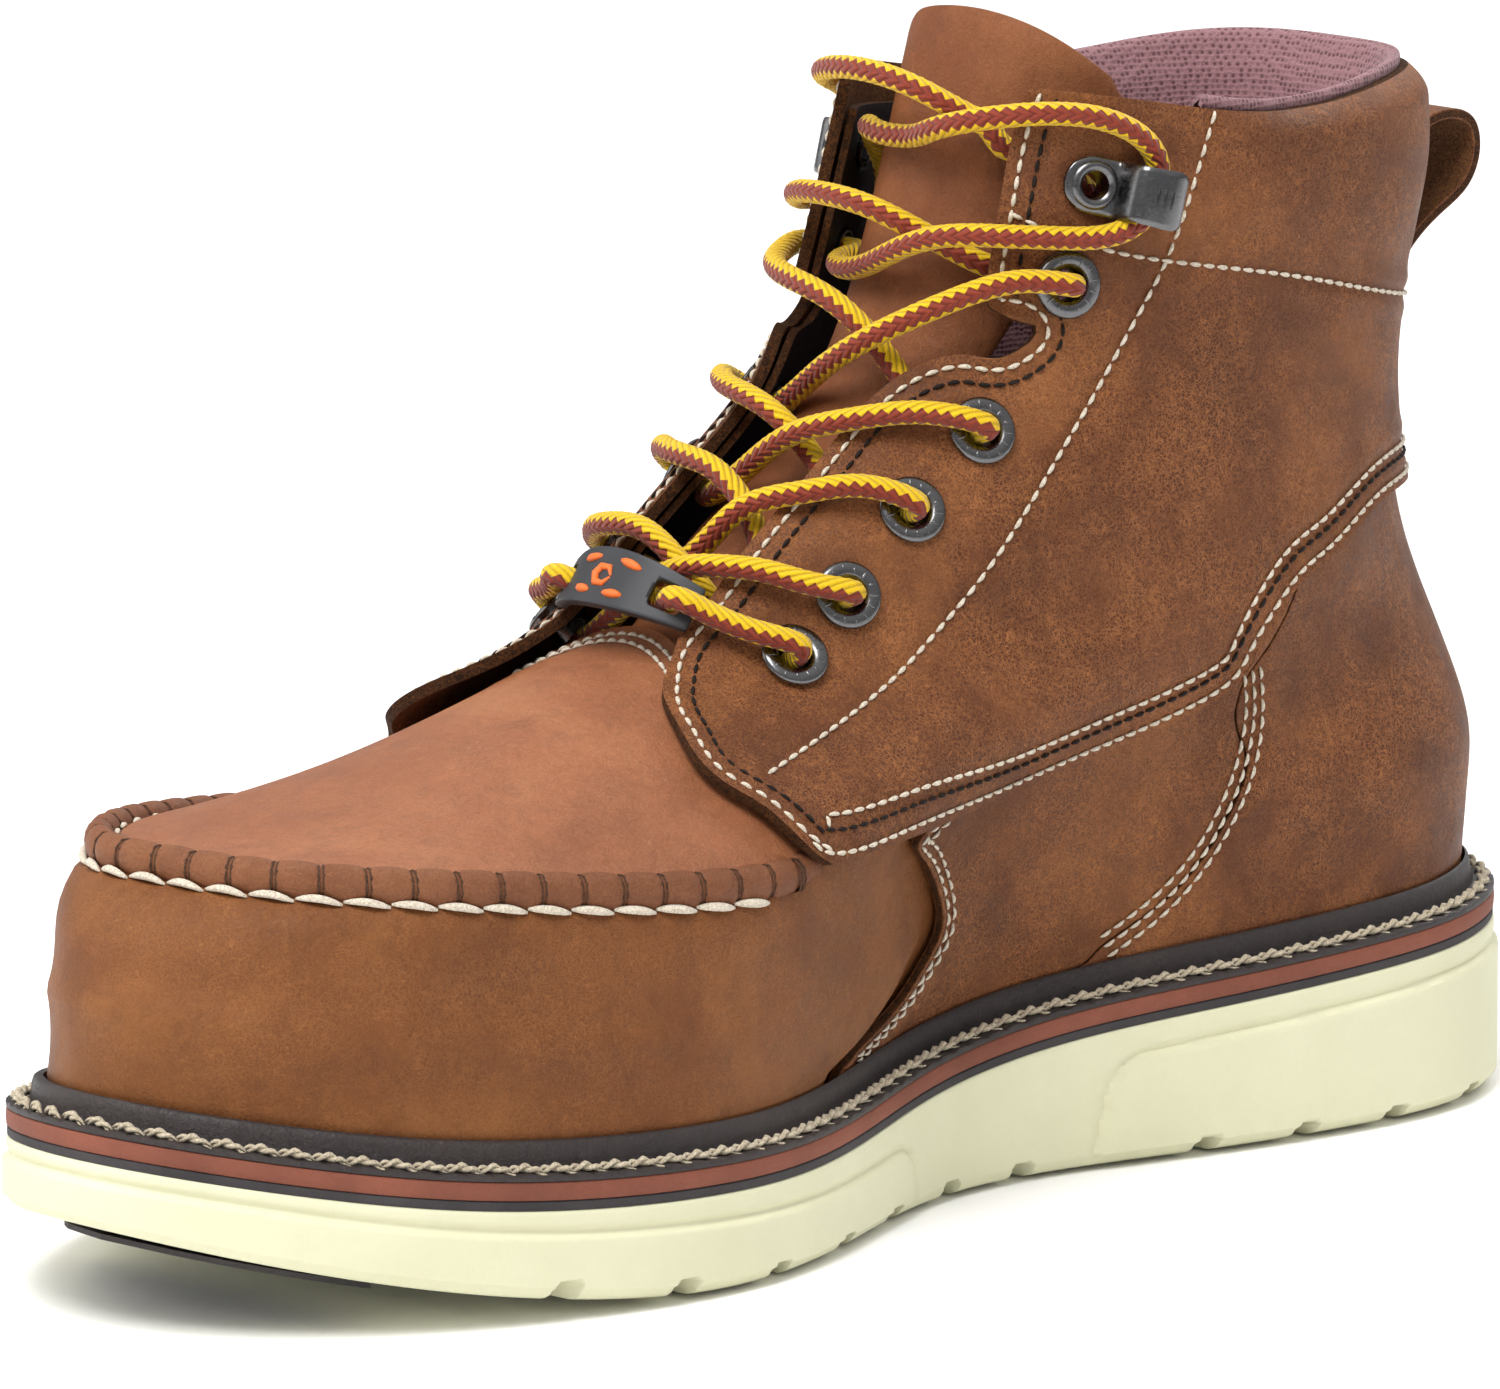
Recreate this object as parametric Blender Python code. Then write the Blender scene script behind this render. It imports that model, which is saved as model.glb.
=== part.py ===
"""Steel toe work boot, right foot: welted wedge sole, moc-toe leather upper, padded collar, laced front.

The toe points along -Y, the heel along +Y, +X is the medial (inner) side and +Z is up.
The origin lies on the ground under the middle of the boot.
Lengths are in millimetres until the meshes are made, where MM turns them into metres.
"""
import math

import bmesh
import bpy
import numpy as np
from mathutils import Vector

MM = 0.001

# ---- driving dimensions (mm) -------------------------------------------------------------------
LEATHER = 1.8            # thickness of each leather panel
LAYER_GAP = 0.7          # air between two leather layers that lie on each other
LAP_DEPTH = LEATHER + LAYER_GAP
SOLE_GAP = 0.3           # air between the stacked sole layers
WELT_THICK = 1.0
BRICK_THICK = 3.0
DARK_THICK = 1.1
WELT_RIDGE = 4.6         # height of the storm ridge above the welt's shelf
SOLE_BEVEL = 2.4         # rounding of the sole's bottom edge
SOLE_OVERHANG = 0.6      # the cream sole stands out from the welt by this much
TOE_SPRING = 16.2        # rise of the sole's underside at the toe
SPRING_START = -56.6     # y where the toe spring begins
TOE_TIP = -154.0
LACE_RADIUS = 1.9
EYELET_HOLE = 2.75
EYELET_FLANGE = 5.6
ROUND = 120              # stations around the boot: 0 heel centre, 60 toe, 61 to 119 the lateral side
HALF = ROUND // 2
ROW_LENGTH = 4.5         # one row up the surface is about this many stations long

# outer edge of the welt, from the heel round the medial side to the toe and back on the lateral side
WELT_EDGE = [(1, 153), (25, 146), (38.7, 128), (42.6, 104), (39, 69), (32.4, 35), (34.8, 5), (47, -24),
             (56.5, -53), (55.5, -84), (46.5, -114.5), (30, -140), (6.5, -154), (-19.5, -147),
             (-39, -124), (-51.3, -93), (-56, -55), (-53, -15), (-47, 25), (-43, 65), (-42, 105),
             (-38, 128), (-23.5, 146)]
# height of the welt's top shelf along the boot
WELT_Y = [-155, -110, -60, -10, 40, 90, 155]
WELT_Z = [33.5, 25.3, 22.1, 22.7, 28.2, 31.9, 35.5]

# inset of the leather from the welt's edge at three heights, by share of the way round (0 heel, .5 toe)
FEATHER_INSET = [(0, 5.5), (.2, 5.5), (.3, 5.5), (.42, 6.5), (.5, 6.5), (.58, 6.5), (.7, 5.5), (.8, 5.5)]
WALL_INSET = [(0, 4), (.14, 4.5), (.21, 2), (.28, 1.5), (.34, 5), (.42, 5.5), (.5, 5.5), (.58, 7.5), (.68, 5),
              (.8, 4.5)]
SEAM_INSET = [(0, 5), (.09, 6), (.15, 3.5), (.21, -2), (.27, -1), (.33, 6), (.38, 10.5), (.44, 14), (.47, 19.5),
              (.5, 21.5), (.53, 17), (.57, 11), (.63, 9), (.7, 7), (.8, 6), (.9, 6.5)]
TOE_TUCK = 3.0           # how much the toe wall is drawn in halfway between its widest level and the moc seam
FEATHER_RISE = 4.8       # the leather shows from this height above the welt
WALL_RISE = 19.0
SEAM_Y = [-155, -120, -60, -10, 155]
SEAM_Z = [70.5, 68, 62, 61.5, 67]
# level sections of the shaft: z, back y, front y, medial and lateral half width, fullness, egg shape
SHAFT = [(86, 141.7, -55.7, 37.7, 40.7, .75, .05),
         (106, 132.2, -19.7, 35.7, 37.7, .72, .12),
         (128, 129.2, 8.3, 33.7, 34.7, .7, .12),
         (153, 133.7, 24.3, 34.2, 34.7, .7, .06),
         (175, 136.2, 34.3, 34.2, 34.7, .7, 0)]
COLLAR_FRONT_RISE = 5.0
COLLAR_SIDE_DIP = 4.5

# panel edges, as (station around, row up the surface)
LOWER_EDGE = [(0.25, 4.0), (7.8, 3.95), (13.8, 3.87), (18.5, 3.53), (21.2, 3.25), (21.6, 2.98), (21, 2.72),
              (22.4, 2.54), (25, 2.42), (28.5, 2.3), (33, 2.19), (36.5, 2.12)]
FRONT_EDGE = [(36.5, 2.12), (38, 2.2), (41, 2.43), (43.8, 2.55), (48.8, 2.8), (53.8, 3.12), (56.3, 3.43)]
EYESTAY_EDGE = [(56.3, 3.43), (56.2, 3.7), (55.7, 4.2), (55.4, 4.6), (55.2, 4.93), (54.4, 5.15), (53.2, 5.28),
                (50.5, 5.36), (47.2, 5.4), (46.6, 5.48), (47.6, 5.6), (50.6, 5.74), (51, 6.03), (51.2, 6.4),
                (51.2, 6.73), (50.8, 7.0)]
SIDE_FRONT = [(32.8, -1), (32.2, .12), (30, .43), (28.8, .8), (28, 1.05), (27.7, 1.4), (28.8, 1.8),
              (30.8, 2.1), (30.8, 2.55)]
SIDE_BACK = [(22.4, -1), (21.8, .12), (20.2, .43), (18.5, .95), (17.3, 1.5), (17, 2.05), (18.4, 2.35),
             (19.6, 2.65), (19.8, 3.0), (19.3, 3.8)]
SIDE_TOP = [(19.3, 3.8), (22.5, 3.6), (24.5, 3.1), (27, 2.72), (30.8, 2.55)]
EYELETS = [(50.2, 3.28), (49.8, 3.75), (48.5, 4.33), (47.2, 4.85), (45.5, 5.8)]
HOOK = (45.4, 6.43)
EYELET_SEAT = [1.4, 1.0, 0.45, 0.45, 0.45]   # each flange clears the leather's curve by this much

# apron (the flat plug on top of the toe)
APRON_Y = [-132, -110, -90, -70, -50, -28, -10]
APRON_Z = [71, 73.5, 77, 81.5, 87.5, 95, 103]
MOC_TOP = 1.94           # row where the toe wall ends under the moc seam
ROLL_OUT = 2.4
ROLL_UP = 3.2
APRON_INSET = 4.6
APRON_LIFT = 2.5

TONGUE_HINGE = (0.0, -29.0, 91.0)
LOOP_HINGE = (0.0, 137.5, 152.0)
FOOTBED_HINGE = (0.0, -138.0, 40.0)
TAG_HINGE = (0.0, -32.8, 102.8)

LEATHER_BROWN = ((0.30, 0.125, 0.055), 0.6, 0)
APRON_BROWN = ((0.36, 0.15, 0.062), 0.55, 0)
TONGUE_BROWN = ((0.33, 0.13, 0.05), 0.6, 0)
CREAM = ((0.86, 0.85, 0.66), 0.6, 0)
DARK_RUBBER = ((0.06, 0.05, 0.05), 0.6, 0)
BRICK = ((0.37, 0.10, 0.055), 0.7, 0)
WELT_BROWN = ((0.035, 0.02, 0.018), 0.5, 0)
STEEL = ((0.55, 0.55, 0.56), 0.35, 1)
GUNMETAL = ((0.35, 0.35, 0.36), 0.25, 1)
PLUM = ((0.16, 0.055, 0.055), 0.9, 0)
FOAM = ((0.75, 0.72, 0.6), 0.9, 0)
BOARD = ((0.55, 0.42, 0.27), 0.85, 0)
CORK = ((0.45, 0.28, 0.14), 0.9, 0)
BLACK = ((0.015, 0.015, 0.017), 0.6, 0)
LACE_YELLOW = ((0.85, 0.6, 0.02), 0.8, 0)


# ---- curves ------------------------------------------------------------------------------------
def spline(knots, values, at):
    """Natural cubic spline through values (any shape after the first axis), held level outside."""
    knots = np.asarray(knots, float)
    values = np.asarray(values, float)
    tail = values.shape[1:]
    rows = values.reshape(len(knots), -1)
    at = np.asarray(at, float)
    flat = np.clip(at.ravel(), knots[0], knots[-1])
    step = np.diff(knots)
    matrix = np.eye(len(knots))
    right = np.zeros(rows.shape)
    for i in range(1, len(knots) - 1):
        matrix[i, i - 1] = step[i - 1]
        matrix[i, i] = 2 * (step[i - 1] + step[i])
        matrix[i, i + 1] = step[i]
        right[i] = 6 * ((rows[i + 1] - rows[i]) / step[i] - (rows[i] - rows[i - 1]) / step[i - 1])
    bend = np.linalg.solve(matrix, right)
    j = np.clip(np.searchsorted(knots, flat) - 1, 0, len(knots) - 2)
    t = (flat - knots[j])[:, None]
    h = step[j][:, None]
    slope = (rows[j + 1] - rows[j]) / h - h * (2 * bend[j] + bend[j + 1]) / 6
    out = rows[j] + t * slope + t ** 2 * bend[j] / 2 + t ** 3 * (bend[j + 1] - bend[j]) / (6 * h)
    return out.reshape(at.shape + tail)


def path(points, count, smooth=True):
    """count points evenly spaced along a curve through the given points."""
    points = np.asarray(points, float)
    reach = np.r_[0, np.cumsum(np.linalg.norm(np.diff(points, axis=0), axis=1))]
    if smooth:
        fine = spline(reach, points, np.linspace(0, reach[-1], 400))
    else:
        fine = points
    reach = np.r_[0, np.cumsum(np.linalg.norm(np.diff(fine, axis=0), axis=1))]
    at = np.linspace(0, reach[-1], count)
    return np.stack([np.interp(at, reach, fine[:, k]) for k in range(fine.shape[1])], 1)


def edge(points, count):
    """count points along a panel's edge of (station, row) points, evenly spaced on the boot."""
    scale = np.array([1, ROW_LENGTH])
    return path(np.asarray(points, float) * scale, count) / scale


def closed_curve(points, count=480):
    """A smooth closed curve through the points."""
    points = np.asarray(points, float)
    lap = 4
    wrapped = np.vstack([points[-lap:], points, points[:lap + 1]])
    knots = np.arange(-lap, len(points) + lap + 1)
    return spline(knots, wrapped, np.linspace(0, len(points), count, endpoint=False))


def by_side(curve, back, front):
    """Resample a closed curve: HALF equal steps from back to front, and HALF on the other side."""
    curve = np.roll(curve, -back, 0)
    front = (front - back) % len(curve)
    sides = []
    for side in (curve[:front + 1], np.vstack([curve[front:], curve[:1]])):
        sides.append(path(side, HALF + 1, smooth=False)[:-1])
    return np.vstack(sides)


def around_share(pairs):
    """A periodic spline of (share of the way round, value) pairs, at the ROUND stations."""
    keys = np.array([pair[0] for pair in pairs])
    values = np.array([pair[1] for pair in pairs], float)
    at = np.arange(ROUND) / ROUND
    return spline(np.r_[keys - 1, keys, keys + 1], np.r_[values, values, values], at)


def welt_height(y):
    return spline(WELT_Y, WELT_Z, y)


def inset_outline(inset):
    """The welt's outline moved inwards by an inset per station."""
    curve = closed_curve(WELT_EDGE)
    curve = by_side(curve, curve[:, 1].argmax(), curve[:, 1].argmin())
    along = np.roll(curve, -1, 0) - np.roll(curve, 1, 0)
    outward = np.stack([along[:, 1], -along[:, 0]], 1)
    outward /= np.linalg.norm(outward, axis=1)[:, None]
    if ((curve - curve.mean(0)) * outward).sum() < 0:
        outward = -outward
    return curve - outward * np.broadcast_to(inset, ROUND)[:, None]


def egg_section(z, back, front, medial, lateral, fullness, egg):
    """One level section of the shaft."""
    turn = np.linspace(0, np.pi, 200)
    y = (back + front) / 2 + (back - front) / 2 * np.cos(turn)
    wide = np.sin(turn).clip(0) ** fullness * (1 + egg * np.cos(turn))
    near = np.c_[medial * wide, y]
    far = np.c_[-lateral * wide, y][::-1][1:-1]
    ring = by_side(np.vstack([near, far]), 0, 199)
    return np.c_[ring, np.full(ROUND, float(z))]


# ---- the surface of the upper --------------------------------------------------------------------
UP_STEP = 0.05
AROUND_STEP = 0.25
TOP_ROW = 8.0


def build_rows():
    """The sections that the upper's outer face passes through, from the feather line to the collar."""
    rows = []
    for pairs, rise in ((FEATHER_INSET, FEATHER_RISE), (WALL_INSET, WALL_RISE)):
        ring = inset_outline(around_share(pairs))
        rows.append(np.c_[ring, welt_height(ring[:, 1]) + rise])
    ring = inset_outline(around_share(SEAM_INSET))
    rows.append(np.c_[ring, spline(SEAM_Y, SEAM_Z, ring[:, 1])])
    for section in SHAFT:
        rows.append(egg_section(*section))
    top = rows[-1]
    share = (SHAFT[-1][1] - top[:, 1]) / (SHAFT[-1][1] - SHAFT[-1][2])
    dip = COLLAR_SIDE_DIP * np.sin(np.pi * share.clip(0, 1)) ** 2
    top[:, 2] += COLLAR_FRONT_RISE * share - dip
    return np.array(rows)


def build_table():
    """Dense grids of points and outward normals over row -1 to TOP_ROW and the stations around."""
    rows = build_rows()
    ups = np.arange(-1, TOP_ROW + UP_STEP / 2, UP_STEP)
    rings = spline(np.arange(len(rows)), rows, ups.clip(0, 7))
    foot = inset_outline(around_share(FEATHER_INSET) + 0.3)
    foot = np.c_[foot, welt_height(foot[:, 1]) + 0.8]
    middle = ((ups > 1) & (ups < 2)) * np.sin(np.pi * (ups - 1))
    toe = ((24 - np.abs(np.arange(ROUND) - HALF)) / 8).clip(0, 1)
    level = np.roll(rows[1], -1, 0) - np.roll(rows[1], 1, 0)
    level = np.stack([level[:, 1], -level[:, 0]], 1)
    level /= np.linalg.norm(level, axis=1)[:, None]
    level *= np.sign(((rows[1] - rows[1].mean(0))[:, :2] * level).sum())
    rings[..., :2] -= TOE_TUCK * middle[:, None, None] * toe[None, :, None] * level[None]
    below = ups < 0
    rings[below] = rows[0] + (rows[0] - foot) * ups[below][:, None, None]
    above = ups > 7
    rise = (rings[ups.searchsorted(6.99)] - rings[ups.searchsorted(6.49)]) * 2
    rings[above] = rows[7] + rise * (ups[above] - 7)[:, None, None]
    at = np.arange(0, ROUND, AROUND_STEP)
    i = np.floor(at).astype(int)
    f = (at - i)[None, :, None]
    p0, p1, p2, p3 = [rings[:, (i + k) % ROUND] for k in (-1, 0, 1, 2)]
    points = p1 + 0.5 * f * (p2 - p0 + f * (2 * p0 - 5 * p1 + 4 * p2 - p3 + f * (3 * (p1 - p2) + p3 - p0)))
    side = np.roll(points, -2, 1) - np.roll(points, 2, 1)
    up = np.gradient(points, axis=0)
    normals = np.cross(side, up)
    if (normals * (points - points.mean((0, 1)))).sum() < 0:
        normals = -normals
    normals /= np.linalg.norm(normals, axis=2)[..., None]
    return points, normals


POINTS, NORMALS = build_table()


def look_up(table, around, up):
    """Bilinear reading of a table at stations around and rows up."""
    a = np.asarray(around, float) / AROUND_STEP
    u = ((np.asarray(up, float) + 1) / UP_STEP).clip(0, table.shape[0] - 1.001)
    i = np.floor(a).astype(int)
    j = np.floor(u).astype(int)
    fa = (a - i)[..., None]
    fu = (u - j)[..., None]
    n = table.shape[1]
    low = table[j, i % n] * (1 - fa) + table[j, (i + 1) % n] * fa
    high = table[j + 1, i % n] * (1 - fa) + table[j + 1, (i + 1) % n] * fa
    return low * (1 - fu) + high * fu


def surface(around, up, depth=0.0):
    """Points on the upper's outer face, moved out along the normal by depth."""
    around, up, depth = np.broadcast_arrays(around, up, depth)
    normal = look_up(NORMALS, around, up)
    normal = normal / np.linalg.norm(normal, axis=-1)[..., None]
    return look_up(POINTS, around, up) + normal * np.asarray(depth)[..., None]


def normal_at(around, up):
    normal = look_up(NORMALS, np.asarray(around), np.asarray(up))
    return normal / np.linalg.norm(normal)


def coons(bottom, right, top, left):
    """Fill four edges given as (station, row) points: bottom and top run left to right."""
    return coons_at(bottom, right, top, left, np.linspace(0, 1, len(bottom)))


def coons_at(bottom, right, top, left, share):
    """The same, with the share of the width at which each column lies."""
    s = share[None, :, None]
    r = np.linspace(0, 1, len(left))[:, None, None]
    ruled = (1 - r) * bottom[None] + r * top[None] + (1 - s) * left[:, None] + s * right[:, None]
    corners = ((1 - r) * (1 - s) * bottom[0] + (1 - r) * s * bottom[-1]
               + r * (1 - s) * top[0] + r * s * top[-1])
    return ruled - corners


def mirrored(edge):
    """The same edge on the lateral side."""
    return [(ROUND - around, up) for around, up in edge]


# ---- meshes --------------------------------------------------------------------------------------
def material(name, look):
    colour, rough, metal = look
    made = bpy.data.materials.new(name)
    made.use_nodes = True
    shader = made.node_tree.nodes["Principled BSDF"]
    shader.inputs["Base Color"].default_value = (*colour, 1)
    shader.inputs["Roughness"].default_value = rough
    shader.inputs["Metallic"].default_value = metal
    return made


def add_object(name, verts, faces, look, origin=(0, 0, 0)):
    """A closed mesh object from points in millimetres, with its origin where asked."""
    mesh = bpy.data.meshes.new(name)
    verts = (np.asarray(verts, float) - np.asarray(origin, float)) * MM
    mesh.from_pydata(verts.tolist(), [], faces)
    work = bmesh.new()
    work.from_mesh(mesh)
    bmesh.ops.recalc_face_normals(work, faces=work.faces)
    if work.calc_volume(signed=True) < 0:
        bmesh.ops.reverse_faces(work, faces=work.faces)
    work.to_mesh(mesh)
    work.free()
    mesh.shade_smooth()
    mesh.set_sharp_from_angle(angle=math.radians(40))
    mesh.materials.append(material(name, look))
    thing = bpy.data.objects.new(name, mesh)
    thing.location = Vector(origin) * MM
    bpy.context.collection.objects.link(thing)
    return thing


def grid_faces(rows, cols, start=0, wrap=False):
    """Quads of a grid of rows by cols points; wrap joins the last column to the first."""
    faces = []
    for i in range(rows - 1):
        for j in range(cols if wrap else cols - 1):
            k = (j + 1) % cols
            faces.append((start + i * cols + j, start + i * cols + k,
                          start + (i + 1) * cols + k, start + (i + 1) * cols + j))
    return faces


def shell(name, outer, inner, look, origin=(0, 0, 0)):
    """A thick sheet between two grids of points of the same size."""
    rows, cols = outer.shape[:2]
    count = rows * cols
    verts = np.vstack([outer.reshape(-1, 3), inner.reshape(-1, 3)])
    faces = grid_faces(rows, cols)
    faces += [tuple(count + k for k in reversed(face)) for face in grid_faces(rows, cols)]
    rim = [j for j in range(cols)]
    rim += [i * cols + cols - 1 for i in range(1, rows)]
    rim += [(rows - 1) * cols + j for j in range(cols - 2, -1, -1)]
    rim += [i * cols for i in range(rows - 2, 0, -1)]
    for a, b in zip(rim, rim[1:] + rim[:1]):
        faces.append((a, count + a, count + b, b))
    return add_object(name, verts, faces, look, origin)


def sheet(name, cells, look, outer=0.0, inner=-LEATHER, origin=(0, 0, 0)):
    """A panel that follows the upper's surface, over a grid of (station, row) cells."""
    around = cells[..., 0]
    up = cells[..., 1]
    return shell(name, surface(around, up, outer), surface(around, up, inner), look, origin)


def sweep(name, rings, look, closed=False, origin=(0, 0, 0)):
    """A solid through equal rings of points: joined end to end, or capped at both ends."""
    count, sides = rings.shape[:2]
    verts = rings.reshape(-1, 3)
    faces = grid_faces(count, sides, wrap=True)
    if closed:
        last = (count - 1) * sides
        faces += [(last + j, last + (j + 1) % sides, (j + 1) % sides, j) for j in range(sides)]
    else:
        faces.append(tuple(range(sides)))
        faces.append(tuple((count - 1) * sides + j for j in range(sides)))
    return add_object(name, verts, faces, look, origin)


def outline_solid(name, levels, look, step=2, origin=(0, 0, 0), keep=None):
    """A solid stacked from closed outlines, each an array of ROUND points, bottom first."""
    pick = np.arange(0, ROUND, step) if keep is None else np.asarray(keep)
    rings = np.array([level[pick] for level in levels])
    count, sides = rings.shape[:2]
    faces = grid_faces(count, sides, wrap=True)
    for base in (0, (count - 1) * sides):
        half = sides // 2
        for i in range(half):
            a, b = i, i + 1
            c, d = (sides - i - 1) % sides, (sides - i) % sides
            loop = [base + k for k in (a, b, c, d)]
            kept = list(dict.fromkeys(loop))
            faces.append(tuple(kept))
    return add_object(name, rings.reshape(-1, 3), faces, look, origin)


def slab(name, inset, low, high, look, step=2, origin=(0, 0, 0)):
    """A layer of the sole, following the welt's curve between two heights above its shelf."""
    ring = inset_outline(inset)
    levels = [np.c_[ring, welt_height(ring[:, 1]) + z] for z in (low, high)]
    return outline_solid(name, levels, look, step, origin)


def as_cutter(tool):
    """A shape that only cuts others."""
    tool.hide_render = True
    tool.display_type = "WIRE"
    return tool


def cutter(name, verts, faces):
    return as_cutter(add_object(name, verts, faces, CREAM))


def cut(target, tool):
    modifier = target.modifiers.new("cut", "BOOLEAN")
    modifier.operation = "DIFFERENCE"
    modifier.solver = "EXACT"
    modifier.object = tool


def box_parts(boxes):
    """Verts and faces of several boxes, each eight corners."""
    verts = []
    faces = []
    for corners in boxes:
        base = len(verts)
        verts += [tuple(corner) for corner in corners]
        for face in ((0, 1, 2, 3), (7, 6, 5, 4), (0, 4, 5, 1), (1, 5, 6, 2), (2, 6, 7, 3), (3, 7, 4, 0)):
            faces.append(tuple(base + k for k in face))
    return verts, faces


def frame_at(around, up):
    """Outward normal and the two directions along the surface: towards the toe side, and upwards."""
    out = normal_at(around, up)
    above = look_up(POINTS, np.array(around), np.array(up + .1))
    rise = above - look_up(POINTS, np.array(around), np.array(up))
    rise -= out * rise.dot(out)
    rise /= np.linalg.norm(rise)
    return out, np.cross(rise, out), rise


def ring_of_points(centre, across, upward, radius, sides):
    turn = np.arange(sides) * 2 * np.pi / sides
    return centre + radius * (np.cos(turn)[:, None] * across + np.sin(turn)[:, None] * upward)


# ---- sole ----------------------------------------------------------------------------------------
def sole_floor(y):
    """Height of the sole's underside: flat, then rising to the toe."""
    share = ((SPRING_START - np.asarray(y)) / (SPRING_START - TOE_TIP)).clip(0, 1.1)
    return TOE_SPRING * share ** 1.8


TREAD_Y = [-98, -76, -54, -32, -12, 8, 26, 62, 82, 102, 124]   # cross grooves of the tread
TREAD_WIDTH = 5.0
TREAD_DEPTH = 3.0
TREAD_START = 12.0       # x where each groove begins, beside the plain middle rib
TREAD_END = 75.0         # past the sole's edge
TREAD_SLANT = 7.0        # how much further back a groove's outer end lies


def make_outsole():
    stack = WELT_THICK + BRICK_THICK + DARK_THICK + 3 * SOLE_GAP
    levels = []
    for inset, rise in ((SOLE_BEVEL, 0.0), (-SOLE_OVERHANG, SOLE_BEVEL)):
        ring = inset_outline(inset)
        levels.append(np.c_[ring, sole_floor(ring[:, 1]) + rise])
    ring = inset_outline(-SOLE_OVERHANG)
    levels.append(np.c_[ring, welt_height(ring[:, 1]) - stack])
    sole = outline_solid("outsole", levels, CREAM)
    boxes = []
    for y in TREAD_Y:
        for side in (1, -1):
            low = -2.0
            high = float(sole_floor(y)) + TREAD_DEPTH
            inner = TREAD_START * side
            outer = TREAD_END * side
            half = TREAD_WIDTH / 2
            corners = [(inner, y - half, low), (outer, y - half + TREAD_SLANT, low),
                       (outer, y + half + TREAD_SLANT, low), (inner, y + half, low)]
            corners += [(x, v, high) for x, v, _ in corners]
            boxes.append(corners)
    cut(sole, cutter("tread_cutter", *box_parts(boxes)))


def make_toe_tread_insert():
    """The dark pad under the toe, which follows the toe spring."""
    rows = []
    for y in np.linspace(-118, -146, 7):
        ring = inset_outline(9.0)
        near = np.interp(-y, -ring[:HALF + 1, 1], ring[:HALF + 1, 0])
        far = np.interp(y, ring[HALF:, 1], ring[HALF:, 0])
        rows.append([(x, y, sole_floor(y)) for x in np.linspace(near, far, 5)])
    grid = np.array(rows, float)
    top = grid - (0, 0, SOLE_GAP + 0.1)
    shell("toe_tread_insert", top, top - (0, 0, 0.9), DARK_RUBBER)


def make_midsoles():
    high = -WELT_THICK - SOLE_GAP
    slab("brick_midsole", 0.0, high - BRICK_THICK, high, BRICK)
    high -= BRICK_THICK + SOLE_GAP
    slab("rubber_midsole", 0.2, high - DARK_THICK, high, DARK_RUBBER)


def make_storm_welt():
    """The welt: a shelf round the boot with a ridge that stands against the leather."""
    leather = around_share(FEATHER_INSET)
    inner = leather + 8.0
    section = [(0, -WELT_THICK), (0, 0), (3.7, 0), (4.3, WELT_RIDGE - 0.8), (leather - 0.5, WELT_RIDGE),
               (leather - 0.5, 0.4), (inner, 0.4), (inner, -WELT_THICK)]
    loops = []
    for inset, rise in section:
        ring = inset_outline(inset)
        loops.append(np.c_[ring, welt_height(ring[:, 1]) + rise])
    rings = np.array(loops).transpose(1, 0, 2)[::2]
    sweep("storm_welt", rings, WELT_BROWN, closed=True)


def make_insole_parts():
    leather = around_share(FEATHER_INSET)
    cork = slab("cork_filler", leather + 8.7, -WELT_THICK + 0.1, 1.6, CORK)
    slab("insole_board", leather + 5.2, 2.0, 4.4, BOARD)
    slab("footbed", leather + 9.2, 4.9, 9.0, DARK_RUBBER, origin=FOOTBED_HINGE)
    ys = np.linspace(-40, 85, 9)
    recess = []
    blade = []
    for y in ys:
        z = float(welt_height(y))
        recess.append([(-8.5, y, z + .2), (8.5, y, z + .2), (8.5, y, z + 4), (-8.5, y, z + 4)])
        blade.append([(-8, y, z + .55), (8, y, z + .55), (8, y, z + 1.5), (-8, y, z + 1.5)])
    recess[0] = [(x, y - 1, z) for x, y, z in recess[0]]
    recess[-1] = [(x, y + 1, z) for x, y, z in recess[-1]]
    cut(cork, as_cutter(sweep("shank_cutter", np.array(recess, float), CORK)))
    sweep("steel_shank", np.array(blade, float), STEEL)


# ---- toe -------------------------------------------------------------------------------------------
def seam_x(y, lateral=False):
    """x of the moc seam's row at a given y."""
    ring = look_up(POINTS, np.arange(0, ROUND + 1), np.full(ROUND + 1, 2.0))
    side = ring[HALF:] if lateral else ring[HALF::-1]
    side = side[side[:, 1] < 60]
    return np.interp(y, side[:, 1], side[:, 0])


def apron_height(x, y):
    """Height of the apron's upper face: an arch between the two sides of the moc seam."""
    right = seam_x(y)
    left = seam_x(y, lateral=True)
    middle = (right + left) / 2
    half = np.maximum((right - left) / 2, 3)
    share = np.abs((x - middle) / half).clip(0, 1)
    edge = spline(SEAM_Y, SEAM_Z, y) + APRON_LIFT
    crown = np.maximum(spline(APRON_Y, APRON_Z, y), edge + 0.8)
    return edge + (crown - edge) * (1 - share ** 2)


def level_normal(around):
    out = normal_at(around, 2.0)
    out[2] = 0
    return out / np.linalg.norm(out)


def seam_point(around, inward=0.0, lift=0.0):
    point = look_up(POINTS, np.array(float(around)), np.array(2.0))
    return point - level_normal(around) * inward + np.array([0, 0, lift])


def side_front_station(up):
    rows = [p[1] for p in SIDE_FRONT]
    return np.interp(up, rows, [p[0] for p in SIDE_FRONT])


VAMP_STEP = 36.2         # station where the toe wall's top steps down under the moc seam roll


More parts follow.
